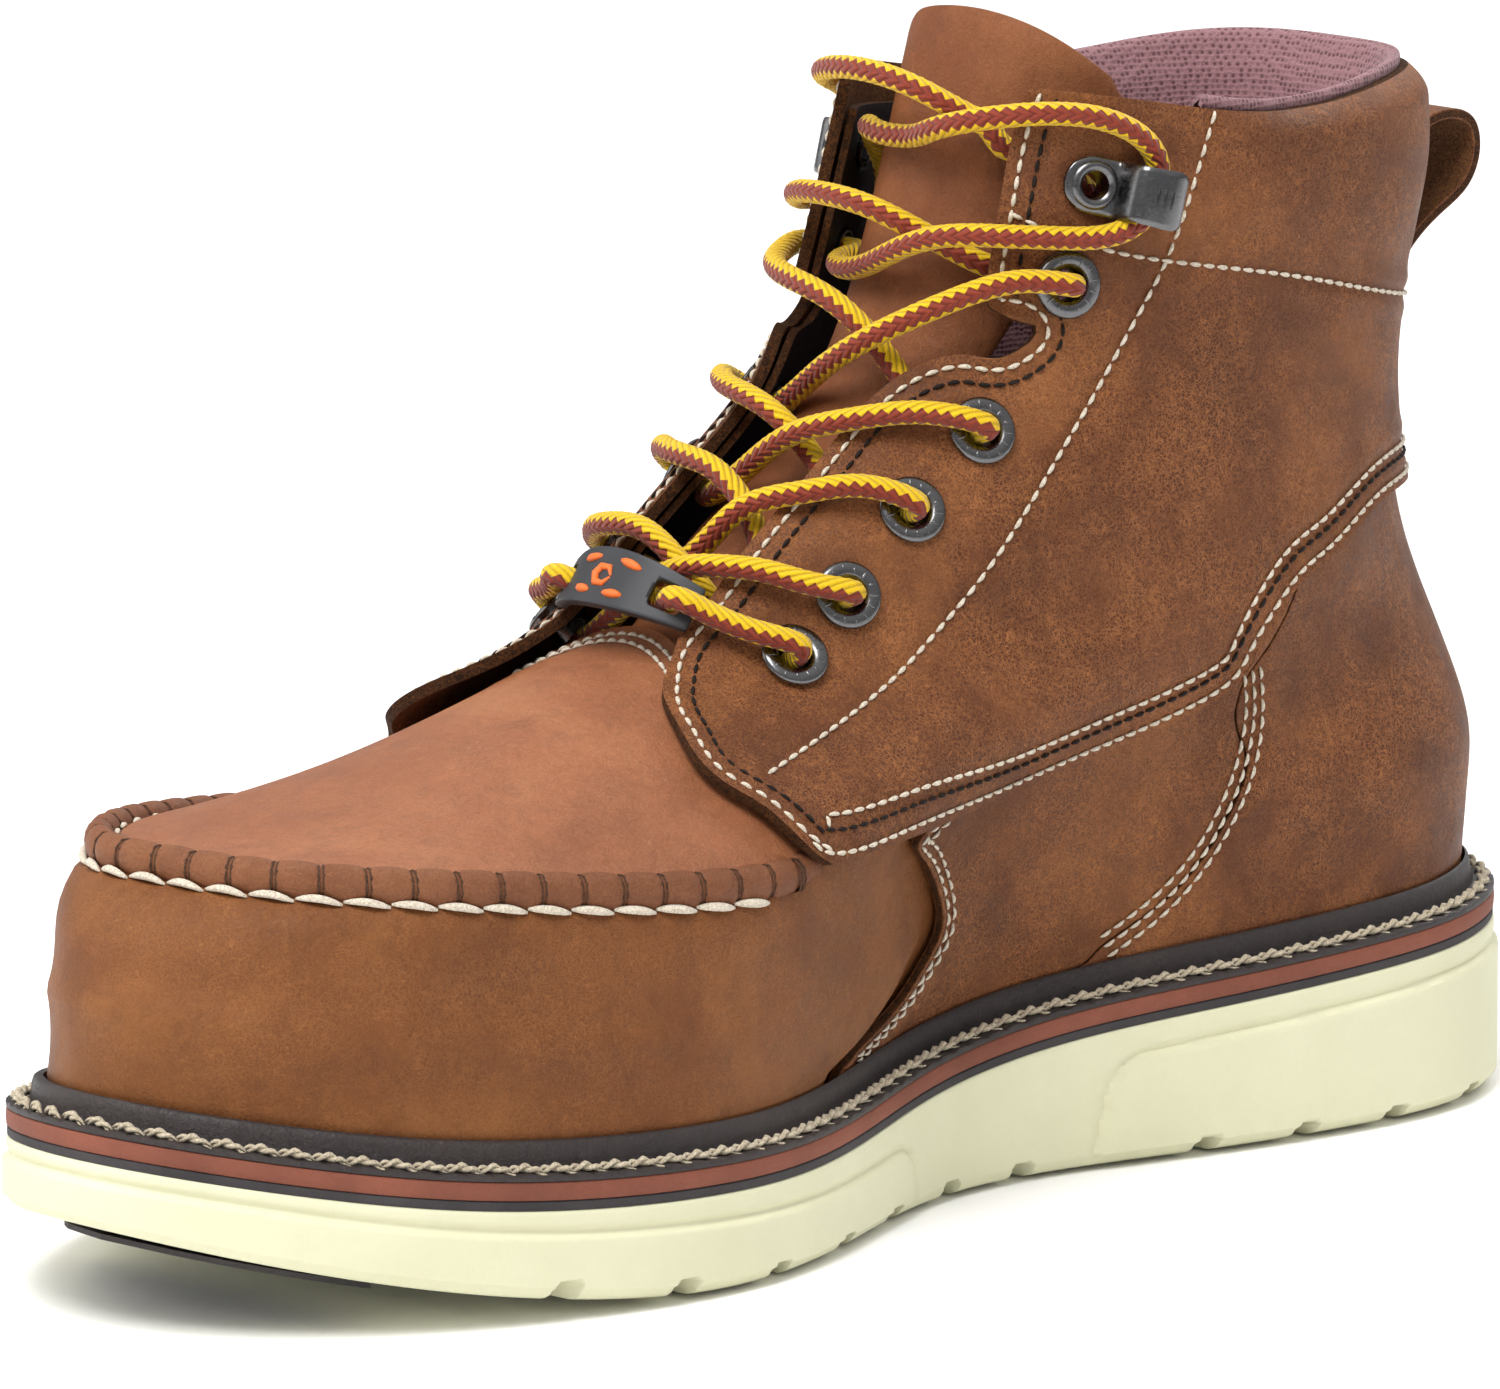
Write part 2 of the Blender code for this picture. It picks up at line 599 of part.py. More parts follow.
def make_vamp():
    """The toe wall, whose ends dip under the side panels."""
    lap = 2.4
    end = [(around - lap, up) for around, up in SIDE_FRONT]
    left = edge(end, 10)
    right = edge(mirrored(end), 10)
    head = np.array([0, 1.1, 2.2, 3.1, 4.3, 6.0])
    width = right[0][0] - left[0][0]
    share = np.r_[head / width, np.linspace(8.0 / width, 1 - 8.0 / width, 21), 1 - head[::-1] / width]
    top_width = right[-1][0] - left[-1][0]
    steps = (np.array([VAMP_STEP, VAMP_STEP + 0.5]) - left[-1][0]) / top_width
    share = np.sort(np.r_[share, steps, 1 - steps])
    low = np.stack([left[0][0] + width * share, np.full(len(share), -1.0)], 1)
    around = left[-1][0] + (right[-1][0] - left[-1][0]) * share
    fold = np.minimum(around, ROUND - around)
    height = np.interp(fold, [left[-1][0], 33, VAMP_STEP, VAMP_STEP + 0.5], [left[-1][1], 2.45, 2.3, MOC_TOP])
    ruled = coons_at(low, right, np.stack([around, height], 1), left, share)
    fold = np.minimum(ruled[..., 0], ROUND - ruled[..., 0])
    ahead = fold - side_front_station(ruled[..., 1])
    dip = (LAP_DEPTH + 0.2) * (1 - ((ahead - 0.5) / 1.3).clip(0, 1))
    sheet("vamp", ruled, LEATHER_BROWN, -dip, -dip - LEATHER)


def make_apron():
    ribs = []
    for around in np.linspace(57.2, 37, 12):
        ribs.append((seam_point(around, APRON_INSET), seam_point(ROUND - around, APRON_INSET), 0.0))
    ribs.append((np.array([44.6, -37.2, 0]), np.array([-44.6, -37.2, 0]), -2.0))
    ribs.append((np.array([25, -36, 0]), np.array([-26, -36, 0]), -9.0))
    grid = []
    for near, far, bow in ribs:
        share = np.linspace(0, 1, 9)
        x = near[0] + (far[0] - near[0]) * share
        y = near[1] + (far[1] - near[1]) * share - bow * np.sin(np.pi * share)
        grid.append(np.stack([x, y, apron_height(x, y)], 1))
    top = np.array(grid)
    shell("apron", top, top - (0, 0, LEATHER), APRON_BROWN)


def make_moc_roll():
    rings = []
    turn = np.arange(6) * 2 * np.pi / 6
    for around in np.linspace(36.8, ROUND - 36.8, 37):
        tuck = np.clip((38.6 - min(around, ROUND - around)) / 1.8, 0, 1)
        centre = seam_point(around, 1.4 + 1.2 * tuck, 2.2)
        out = level_normal(around)
        up = np.array([0, 0, 1.0])
        rings.append(centre + ROLL_OUT * np.cos(turn)[:, None] * out + ROLL_UP * np.sin(turn)[:, None] * up)
    sweep("moc_seam_roll", np.array(rings), LEATHER_BROWN)


CAP_OUT = 3.3
CAP_THICK = 2.0
CAP_COLUMNS = 19
CAP_BACK = -82.0


def cap_grid(depth):
    """Wall and top of the steel cap at a depth under the leather."""
    arounds = np.linspace(45, 75, CAP_COLUMNS)
    rows = [surface(arounds, up, -depth) for up in (0.1, 0.5, 1.0, 1.4, 1.7)]
    shoulder = np.array([seam_point(around, 5.0 + depth) for around in arounds])
    share = (arounds - 45) / 30
    last = shoulder[[0, -1]]
    back = np.stack([last[0, 0] + (last[1, 0] - last[0, 0]) * share, np.full(CAP_COLUMNS, CAP_BACK)], 1)
    for blend in (0, .3, .65, 1):
        flat = shoulder[:, :2] * (1 - blend) + back * blend
        z = apron_height(flat[:, 0], flat[:, 1]) - depth - LEATHER - 0.4
        rows.append(np.c_[flat, z])
    return np.array(rows)


def make_toe_cap():
    shell("steel_toe_cap", cap_grid(CAP_OUT), cap_grid(CAP_OUT + CAP_THICK), STEEL)
    back_edge = (cap_grid(CAP_OUT)[-1] + cap_grid(CAP_OUT + CAP_THICK)[-1]) / 2 + (0, 1.9, 0)
    rings = []
    for i in range(1, len(back_edge) - 1):
        along = back_edge[i + 1] - back_edge[i - 1]
        along /= np.linalg.norm(along)
        back = np.array([0, 1.0, 0])
        up = np.cross(along, back)
        rings.append(ring_of_points(back_edge[i], back, up / np.linalg.norm(up), 1.2, 6))
    sweep("toe_cap_trim", np.array(rings), BLACK)


# ---- upper panels ------------------------------------------------------------------------------------
def make_side_panels():
    top = edge(SIDE_TOP, 9)
    left = edge(SIDE_BACK, 12)
    right = edge(SIDE_FRONT, 12)
    low = edge([SIDE_BACK[0], SIDE_FRONT[0]], 9)
    cells = coons(low, right, top, left)
    sheet("side_panel_medial", cells, LEATHER_BROWN)
    cells = cells.copy()
    cells[..., 0] = ROUND - cells[..., 0]
    sheet("side_panel_lateral", cells, LEATHER_BROWN)


def make_heel_panel():
    right = edge([(around - 0.12, up) for around, up in SIDE_BACK], 12)
    left = right * (-1, 1)
    low = edge([left[0], right[0]], 17)
    top = edge([left[-1], (-14, 4.25), (-8, 4.32), (0, 4.35), (8, 4.32), (14, 4.25), right[-1]], 17)
    sheet("heel_panel", coons(low, right, top, left), LEATHER_BROWN)


def quarter_cells():
    lower = edge(LOWER_EDGE, 15)
    front = edge(FRONT_EDGE, 7)
    bottom = np.vstack([lower, front[1:]])
    top_around = np.r_[np.linspace(0.25, 34, 15), np.linspace(34, EYESTAY_EDGE[-1][0], 7)[1:]]
    top = np.stack([top_around, np.full(len(top_around), 7.0)], 1)
    right = np.array(EYESTAY_EDGE)
    left = np.stack([np.full(len(right), 0.25), np.linspace(4.0, 7.0, len(right))], 1)
    return coons(bottom, right, top, left)


def flipped(cells):
    other = cells.copy()
    other[..., 0] = ROUND - other[..., 0]
    return other


def hole_cutter(name, side, radius, hook_radius):
    """Round rods through every eyelet and the hook's rivet on one side."""
    verts = []
    faces = []
    sides = 16
    for spot in EYELETS + [HOOK]:
        around = spot[0] if side == "medial" else ROUND - spot[0]
        across, rise = frame_at(around, spot[1])[1:]
        size = hook_radius if spot == HOOK else radius
        base = len(verts)
        for depth in (-4, 6):
            verts += ring_of_points(surface(around, spot[1], depth), across, rise, size, sides).tolist()
        faces += [tuple(base + k for k in range(sides)), tuple(base + sides + k for k in range(sides))]
        for k in range(sides):
            j = (k + 1) % sides
            faces.append((base + k, base + j, base + sides + j, base + sides + k))
    return cutter(name, verts, faces)


def make_quarters():
    cells = quarter_cells()
    low = LAYER_GAP
    high = LAYER_GAP + LEATHER
    for side, shape in (("medial", cells), ("lateral", flipped(cells))):
        panel = sheet("quarter_" + side, shape, LEATHER_BROWN, high, low)
        rows = np.array(EYESTAY_EDGE[1:-1])
        start = np.full(len(rows), 40.0)
        share = np.linspace(0, 1, 4)[None, :]
        around = start[:, None] + (rows[:, :1] - 0.3 - start[:, None]) * share
        up = np.repeat(rows[:, 1:], 4, 1)
        lining = np.stack([around, up], 2)
        if side == "lateral":
            lining = flipped(lining)
        lined = sheet("facing_lining_" + side, lining, BLACK, 0.0, -1.3)
        tool = hole_cutter("eyelet_cutter_" + side, side, 3.6, 3.4)
        cut(panel, tool)
        cut(lined, tool)


def make_heel_counter():
    arounds = np.linspace(-15, 15, 17)
    ups = np.linspace(0.02, 2.8, 7)
    around, up = np.meshgrid(arounds, ups)
    up = up * (1 - 0.35 * (np.abs(around) / 15) ** 3)
    sheet("heel_counter", np.stack([around, up], 2), BOARD, -2.7, -4.2)


def lining_depth(around, up):
    """How deep under the upper's face the shaft lining lies: padded at the collar's back."""
    soft = spline([0, 3.6, 4.3, 5.0, 5.6, 6.4, 6.9, 7.2], [5.1, 4.9, 4.2, 5.0, 6.6, 7.0, 5.2, 3.2], up)
    plain = spline([0, 3.6, 4.3, 5.0, 5.6, 6.4, 6.9, 7.2], [5.1, 4.9, 3.2, 2.8, 2.8, 2.8, 2.6, 2.0], up)
    share = ((np.abs(around) - 24) / 10).clip(0, 1)
    return soft * (1 - share) + plain * share


LINING_UPS = [0.05, 0.8, 1.6, 2.4, 3.2, 4.0, 4.8, 5.5, 6.1, 6.6, 7.0, 7.18]


def make_shaft_lining():
    ups = np.array(LINING_UPS)
    end = np.interp(ups, [2.4, 3.3], [33.5, 38.0])
    share = np.linspace(-1, 1, 21)
    around = end[:, None] * share[None, :]
    up = np.repeat(ups[:, None], 21, 1)
    depth = lining_depth(around, up)
    sheet("shaft_lining", np.stack([around, up], 2), PLUM, -depth, -depth - 1.2)


def make_collar_padding():
    ups = np.array([4.45, 5.0, 5.6, 6.2, 6.6, 6.85])
    around, up = np.meshgrid(np.linspace(-36, 36, 19), ups)
    depth = lining_depth(around, up)
    cells = np.stack([around, up], 2)
    sheet("collar_padding", cells, FOAM, -0.1, -depth + 0.9)


def wall_x(y, lateral=False):
    ring = look_up(POINTS, np.arange(0, ROUND + 1), np.full(ROUND + 1, 0.7))
    side = ring[HALF:] if lateral else ring[HALF::-1]
    side = side[side[:, 1] < 60]
    return np.interp(y, side[:, 1], side[:, 0])


VAMP_LINING_FRONT = -114.0


def make_vamp_lining():
    """The fabric tunnel inside the vamp, from the toe to the throat."""
    grids = []
    for deeper in (0.0, 1.2):
        rows = []
        for share in np.linspace(0, 1, 9):
            turn = np.linspace(0, np.pi, 15)
            end = -29 - 15 * np.sin(turn) ** 2
            y = VAMP_LINING_FRONT + (end - VAMP_LINING_FRONT) * share
            right = wall_x(y) - 6.2 - deeper
            left = wall_x(y, lateral=True) + 6.2 + deeper
            middle = (right + left) / 2
            half = (right - left) / 2
            floor = welt_height(y) + FEATHER_RISE + 0.3
            top = apron_height(middle, y) - 8.8 - deeper
            x = middle + half * np.sign(np.cos(turn)) * np.abs(np.cos(turn)) ** 0.8
            z = floor + (top - floor) * np.sin(turn).clip(0) ** 0.8
            rows.append(np.stack([x, y, z], 1))
        grids.append(np.array(rows))
    shell("vamp_lining", grids[0], grids[1], PLUM)


def make_backstay():
    """The strip over the back seam: on the heel panel below, and on the quarters above."""
    ups = np.array([0.5, 1.2, 1.9, 2.6, 3.2, 3.7, 4.05, 4.4, 4.9, 5.2])
    base = np.interp(ups, [3.6, 4.0], [LAYER_GAP, 2 * LAYER_GAP + LEATHER])
    around, up = np.meshgrid(np.linspace(-2.1, 2.1, 5), ups)
    low = np.repeat(base[:, None], 5, 1)
    sheet("backstay", np.stack([around, up], 2), LEATHER_BROWN, low + LEATHER, low)


LOOP_PATH = [(138.9, 154.5), (141.0, 160.0), (145.8, 162.8), (151, 163.3), (155.4, 161.4), (156.7, 157.5),
             (154.4, 151.5), (148.7, 147.7), (142.2, 143.5), (136.4, 138.6)]
LOOP_WIDTH = 20.0


def make_pull_loop():
    middle = path(LOOP_PATH, 17)
    along = np.gradient(middle, axis=0)
    along /= np.linalg.norm(along, axis=1)[:, None]
    side = np.stack([-along[:, 1], along[:, 0]], 1)
    rings = []
    for point, out in zip(middle, side):
        ring = []
        for turn, thick in ((1, 1), (1, -1), (-1, -1), (-1, 1)):
            spot = point + out * thick * LEATHER / 2
            ring.append((turn * LOOP_WIDTH / 2, spot[0], spot[1]))
        rings.append(ring)
    sweep("pull_loop", np.array(rings), LEATHER_BROWN, origin=LOOP_HINGE)


# ---- tongue --------------------------------------------------------------------------------------------
TONGUE_HALF = ([3.6, 4.2, 5.0, 5.8, 6.6, 7.1, 7.5], [6.5, 8.0, 10.5, 14.0, 18.0, 19.0, 16.0])
TONGUE_TOP = 7.48
TONGUE_DEPTH = 6.9


def tongue_cells(rows, cols, shrink, low, drop):
    ups = np.linspace(low, TONGUE_TOP - drop, rows)
    share = np.linspace(-1, 1, cols)
    half = spline(*TONGUE_HALF, ups) - shrink
    around = HALF + half[:, None] * share[None, :]
    lean = ((ups - 6.4) / 1.0).clip(0, 1)[:, None]
    up = ups[:, None] - 0.35 * lean * share[None, :] ** 2
    return np.stack([around, up], 2)


def tongue_sheet(name, cells, look, outer, inner):
    sink = 1.4 * ((4.1 - cells[..., 1]) / 0.5).clip(0, 1)
    sheet(name, cells, look, -outer - sink, -inner - sink, origin=TONGUE_HINGE)


def make_tongue():
    tongue_sheet("tongue", tongue_cells(14, 9, 0, 3.62, 0), TONGUE_BROWN, TONGUE_DEPTH, TONGUE_DEPTH + LEATHER)
    under = TONGUE_DEPTH + LAP_DEPTH
    tongue_sheet("tongue_lining", tongue_cells(10, 7, 0.8, 3.8, 0.06), PLUM, under, under + 4)


# ---- fittings ------------------------------------------------------------------------------------------
def lathe_ring(name, around, up, profile, look, sides=12):
    """A turned ring on the surface: profile is (radius, depth) points around its wall."""
    out, across, rise = frame_at(around, up)
    centre = surface(around, up)
    loops = [ring_of_points(centre + out * depth, across, rise, radius, sides) for radius, depth in profile]
    rings = np.array(loops).transpose(1, 0, 2)
    sweep(name, rings, look, closed=True)


def make_eyelets():
    for side in ("medial", "lateral"):
        for number, (around, up) in enumerate(EYELETS, 1):
            seat = LAYER_GAP + LEATHER + EYELET_SEAT[number - 1]
            profile = [(EYELET_HOLE, -1.9), (3.2, -1.9), (3.2, seat), (EYELET_FLANGE, seat),
                       (4.4, seat + 1.0), (EYELET_HOLE, seat + .5)]
            place = around if side == "medial" else ROUND - around
            lathe_ring("eyelet_%s_%d" % (side, number), place, up, profile, GUNMETAL)


# the hook's plate as (distance behind its rivet, depth, half width)
HOOK_PROFILE = [(-5.6, 3.1, 1.9), (-4.9, 3.1, 3.4), (-3.2, 3.1, 4.5), (0, 3.1, 4.7), (3.4, 3.1, 4.6),
                (4.8, 4.4, 4.3), (6.0, 7.4, 4.1), (7.4, 8.6, 4.4), (10, 8.9, 4.8), (12.6, 8.5, 4.8), (13.9, 7.1, 4.4)]
HOOK_THICK = 0.9


def make_hooks():
    """Lace hooks: a plate riveted at its front whose back end stands clear of the leather."""
    for side in ("medial", "lateral"):
        place = HOOK[0] if side == "medial" else ROUND - HOOK[0]
        turn = 1 if side == "medial" else -1
        out, across, rise = frame_at(place, HOOK[1])
        toward_heel = np.cross(out, rise)
        if toward_heel[1] < 0:
            toward_heel = -toward_heel
        centre = surface(place, HOOK[1])
        spots = np.array([(p[0], p[1]) for p in HOOK_PROFILE])
        slope = np.gradient(spots, axis=0)
        slope /= np.linalg.norm(slope, axis=1)[:, None]
        rings = []
        for (along, depth, half), (da, dd) in zip(HOOK_PROFILE, slope):
            ring = []
            for width, thick in ((half, 0), (half, 1), (-half, 1), (-half, 0)):
                a = along - dd * HOOK_THICK * thick
                d = depth + da * HOOK_THICK * thick
                ring.append(centre + toward_heel * a + out * d + rise * width * turn)
            rings.append(ring)
        plate = sweep("lace_hook_" + side, np.array(rings), GUNMETAL)
        verts = []
        for depth in (1.5, 6.5):
            verts += ring_of_points(centre + out * depth, across, rise, 3.1, 16).tolist()
        faces = [tuple(range(16)), tuple(range(16, 32))]
        faces += [(k, (k + 1) % 16, 16 + (k + 1) % 16, 16 + k) for k in range(16)]
        cut(plate, cutter("hook_cutter_" + side, verts, faces))
        profile = [(2.3, -1.9), (2.8, -1.9), (2.8, 4.7), (4.0, 4.7), (3.4, 5.4), (2.3, 5.1)]
        lathe_ring("hook_rivet_" + side, place, HOOK[1], profile, GUNMETAL)


# ---- lace tag ----------------------------------------------------------------------------------------
TAG_MIDDLE = np.array([0.0, -36.45, 105.5])    # the middle of its upper face, on the crest of its arch
TAG_NORMAL = np.array([0.0, -0.8, 0.6])
TAG_RISE = np.array([0.0, 0.6, 0.8])
TAG_HALF = 15.8
TAG_FALL = 7.5           # how much lower its ends are than its crest
TAG_LENGTH = 10.5
TAG_NARROWING = 1.45
TAG_THICK = 2.0
TAG_SLOT_X = 11.8
TAG_SLOT_WIDE = 2.9
TAG_SLOT_TALL = 2.5


def tag_drop(x):
    return TAG_FALL * (x / TAG_HALF) ** 2


def tag_slope(x):
    return 2 * TAG_FALL * x / TAG_HALF ** 2


def tag_point(x, over):
    """A point across the tag's middle line, at a height over its crest."""
    return TAG_MIDDLE + np.array([x, 0, 0]) + TAG_NORMAL * over


# ---- lace ------------------------------------------------------------------------------------------------
# points of the lace's route as (station around, row up, depth over the upper's face)
UNDER = -4.1             # depth of the lace between the facing and the tongue
HOOK_TURN = [(51.3, 6.82, 5.2), (47, 6.86, 5.6), (43.6, 6.78, 5.4), (41.7, 6.62, 5.0), (41.2, 6.43, 4.9),
             (41.6, 6.25, 5.0), (43.6, 6.12, 5.4), (47.5, 6.1, 5.6), (50.6, 6.1, 5.2)]
TUCKED_END = [(77.2, 6.0, -4.4), (76.2, 6.3, -4.4), (73.5, 6.5, UNDER), (70.2, 6.63, -4.0), (68, 6.66, -3.6)]
MEDIAL_TOP = TUCKED_END + [
    (64, 6.66, -3.2), (60.2, 6.67, -2.2), (57.4, 6.7, 0.9), (55.2, 6.74, 3.2)
] + HOOK_TURN + [
    (53.8, 6.08, 4.1), (57, 6.0, 1.6), (60.8, 5.91, -2.2), (64.5, 5.86, -4.1), (70, 5.82, UNDER)]
LATERAL_TURN = [(ROUND - around, up, depth) for around, up, depth in HOOK_TURN[1:-1]]
LATERAL_TOP = [(ROUND - around, up, depth) for around, up, depth in TUCKED_END] + [
    (53.4, 6.76, -2.8), (55.3, 6.83, -1.2), (57.6, 6.9, 2.6), (60.2, 6.95, 4.9), (64, 6.97, 5.6),
    (69, 6.92, 5.6)
] + LATERAL_TURN + [(68, 6.18, 5.6), (63, 6.22, 5.4), (59.4, 6.19, 3.6), (56.9, 6.13, -0.7), (54.8, 6.07, -3.0),
                    (52.7, 6.0, -3.5), (50.2, 5.92, UNDER)]
# from outside an eyelet to inside the next lower one on the other side; the medial strands lie on top
MEDIAL_STRANDS = {
    5: [(48.2, 5.83, 6.2), (50.9, 5.77, 5.6), (53.8, 5.6, 4.8), (56.6, 5.41, 3.6), (59.5, 5.28, 0.8),
        (62.3, 5.19, -2.6), (66, 5.05, -4.4), (70, 4.93, UNDER)],
    4: [(50.5, 4.92, 6.3), (54.2, 4.87, 5.4), (57.5, 4.77, 3.7), (60, 4.68, 0.8), (62.4, 4.58, -2.6),
        (66, 4.45, -4.4), (69, 4.38, UNDER)],
    3: [(51.4, 4.42, 6.3), (54.3, 4.38, 5.4), (57.2, 4.29, 3.5), (58.6, 4.19, 0.9), (60.1, 4.07, -1.9),
        (62, 3.97, -3.7), (66, 3.84, -4.4), (68.4, 3.78, UNDER)],
    2: [(51.8, 3.79, 6.8), (54.2, 3.86, 6.2), (56.2, 3.87, 5.6), (57.8, 3.85, 4.8), (59.3, 3.8, 2.8),
        (61, 3.73, -0.4), (62.8, 3.64, -3.0), (65, 3.5, -4.4), (67.6, 3.38, -4.5)],
}
LATERAL_STRANDS = {
    5: [(72.4, 5.78, 6.6), (69, 5.73, 6.2), (64.5, 5.68, 5.4), (60.4, 5.6, 4.2), (58.2, 5.5, 0.6),
        (56.4, 5.39, -2.5), (55, 5.3, -3.6), (52.6, 5.15, -4.4), (50.2, 5.0, UNDER)],
    4: [(69.5, 4.92, 6.4), (65, 4.92, 5.6), (61.2, 4.88, 4.3), (59, 4.83, 0.6), (57.4, 4.77, -2.9),
        (56.3, 4.72, -3.4), (54.4, 4.64, -4.4), (51.4, 4.47, UNDER)],
    3: [(68.6, 4.43, 6.5), (64.5, 4.47, 5.6), (61, 4.46, 4.3), (58.7, 4.39, 0.7), (57.2, 4.29, -2.2),
        (56.3, 4.21, -3.4), (54.6, 4.08, -4.4), (52.2, 3.92, -4.4)],
    2: [(68.2, 3.86, 6.8), (65, 3.97, 6.2), (62, 4.03, 5.0), (60.2, 3.99, 3.0), (58.9, 3.94, 0.2),
        (57.7, 3.88, -2.4), (56.4, 3.8, -4.2), (54, 3.6, -4.5), (51.9, 3.4, -4.5)],
}


BAR_START = [(51.3, 3.33, 7.2), (53.4, 3.42, 6.8)]
# the bar's way over the tag's end, down through its slot and under it, as x and height over the tag's crest
BAR_IN_TAG = [(18.2, -7.0), (16.2, -4.6), (13.6, -3.9), (11.2, -5.3), (8.0, -7.2), (4.5, -5.3)]


def other_side(points):
    return [(ROUND - around, up, depth) for around, up, depth in points]


def through_eyelet(number):
    """The lace's way outwards through an eyelet on the medial side."""
    around, up = EYELETS[number - 1]
    lift = LAYER_GAP + LEATHER + EYELET_SEAT[number - 1]
    return [(around, up, UNDER), (around, up, 0.5), (around, up, lift + 2.8)]


def half_route(top, first_medial):
    """One half of the lace: from its tucked end round a hook, then through eyelets down to the lowest."""
    points = list(top)
    medial = first_medial
    for number in (5, 4, 3, 2):
        way = through_eyelet(number)
        points += (way + MEDIAL_STRANDS[number]) if medial else (other_side(way) + LATERAL_STRANDS[number])
        medial = not medial
    lowest = through_eyelet(1) + BAR_START
    return points + (lowest if medial else other_side(lowest))


def lace_route():
    """The whole lace: the half that starts at the medial hook, the bottom bar, and the other half."""
    first = lace_points(half_route(MEDIAL_TOP, False))
    second = lace_points(half_route(LATERAL_TOP, True))
    under_tag = [(-x, over) for x, over in BAR_IN_TAG] + [(0, -4.5)] + BAR_IN_TAG[::-1]
    bar = [tag_point(x, over) for x, over in under_tag]
    return np.vstack([first, bar, second[::-1]])


def lace_points(spots):
    spots = np.array(spots, float)
    return surface(spots[:, 0], spots[:, 1], spots[:, 2])


LACE_STEP = 11.0


def smooth_route(points):
    """Points along a smooth curve through the route, closer together where it bends."""
    reach = np.r_[0, np.cumsum(np.linalg.norm(np.diff(points, axis=0), axis=1) ** 0.75)]
    fine = spline(reach, points, np.linspace(0, reach[-1], 4000))
    step = np.linalg.norm(np.diff(fine, axis=0), axis=1)
    along = np.diff(fine, axis=0) / step[:, None]
    bend = np.r_[0, np.linalg.norm(np.diff(along, axis=0), axis=1)]
    weight = np.r_[0, np.cumsum(step / LACE_STEP + bend * 0.8)]
    count = int(weight[-1])
    at = np.linspace(0, weight[-1], count)
    return np.stack([np.interp(at, weight, fine[:, k]) for k in range(3)], 1)


def tube_rings(points, radius, sides):
    """Rings across a route, turned as little as possible from one to the next."""
    along = np.gradient(points, axis=0)
    along /= np.linalg.norm(along, axis=1)[:, None]
    across = np.cross(along[0], (0.3, 0.2, 1.0))
    rings = []
    for point, ahead in zip(points, along):
        across = across - ahead * across.dot(ahead)
        across /= np.linalg.norm(across)
        rings.append(ring_of_points(point, across, np.cross(ahead, across), radius, sides))
    return np.array(rings)


def make_lace():
    route = smooth_route(lace_route())
    sweep("lace", tube_rings(route, LACE_RADIUS, 6), LACE_YELLOW)
    for name, tip in (("lateral", route[:2]), ("medial", route[-1:-3:-1])):
        ahead = (tip[0] - tip[1]) / np.linalg.norm(tip[0] - tip[1])
        spots = np.array([tip[0] + ahead * (0.4 + far) for far in (0, 6, 13)])
        sweep("aglet_" + name, tube_rings(spots, LACE_RADIUS, 6), DARK_RUBBER)


def make_lace_tag():
    """The curved tag threaded on the lace's bottom bar."""
    grids = []
    for thick in (0.0, TAG_THICK):
        rows = []
        for share in np.linspace(-1, 1, 4):
            spots = []
            for x in np.linspace(-TAG_HALF, TAG_HALF, 15):
                half = TAG_LENGTH / 2 - TAG_NARROWING * (x / TAG_HALF) ** 2
                out = TAG_NORMAL + tag_slope(x) * np.array([1.0, 0, 0])
                out /= np.linalg.norm(out)
                spots.append(tag_point(x, -tag_drop(x)) + TAG_RISE * half * share - out * thick)
            rows.append(spots)
        grids.append(np.array(rows))
    tag = shell("lace_tag", grids[0], grids[1], BLACK, origin=TAG_HINGE)
    for side, turn in (("medial", 1), ("lateral", -1)):
        out = TAG_NORMAL + tag_slope(TAG_SLOT_X) * np.array([1.0, 0, 0])
        out /= np.linalg.norm(out)
        along = np.cross(TAG_RISE, out)
        verts = []
        for depth in (-6.0, 6.0):
            for wide, tall in ((-1, -1), (1, -1), (1, 1), (-1, 1)):
                spot = tag_point(TAG_SLOT_X, -tag_drop(TAG_SLOT_X)) + out * depth
                spot = spot + along * TAG_SLOT_WIDE * wide + TAG_RISE * TAG_SLOT_TALL * tall
                verts.append((spot * (turn, 1, 1)).tolist())
        faces = [(0, 1, 2, 3), (7, 6, 5, 4), (0, 4, 5, 1), (1, 5, 6, 2), (2, 6, 7, 3), (3, 7, 4, 0)]
        cut(tag, cutter("tag_slot_" + side, verts, faces))


def clear_scene():
    for thing in list(bpy.data.objects):
        bpy.data.objects.remove(thing, do_unlink=True)


def main():
    clear_scene()
    make_outsole()
    make_toe_tread_insert()
    make_midsoles()
    make_storm_welt()
    make_insole_parts()
    make_toe_cap()
    make_vamp()
    make_apron()
    make_moc_roll()
    make_side_panels()
    make_heel_panel()
    make_quarters()
    make_heel_counter()
    make_shaft_lining()
    make_collar_padding()
    make_vamp_lining()
    make_backstay()
    make_pull_loop()
    make_tongue()
    make_eyelets()
    make_hooks()
    make_lace()
    make_lace_tag()


main()
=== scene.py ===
"""A laced leather work boot with a moc toe and a wedge sole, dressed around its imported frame."""
import math

import bmesh
import bpy
import numpy as np
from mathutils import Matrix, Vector
from mathutils.kdtree import KDTree


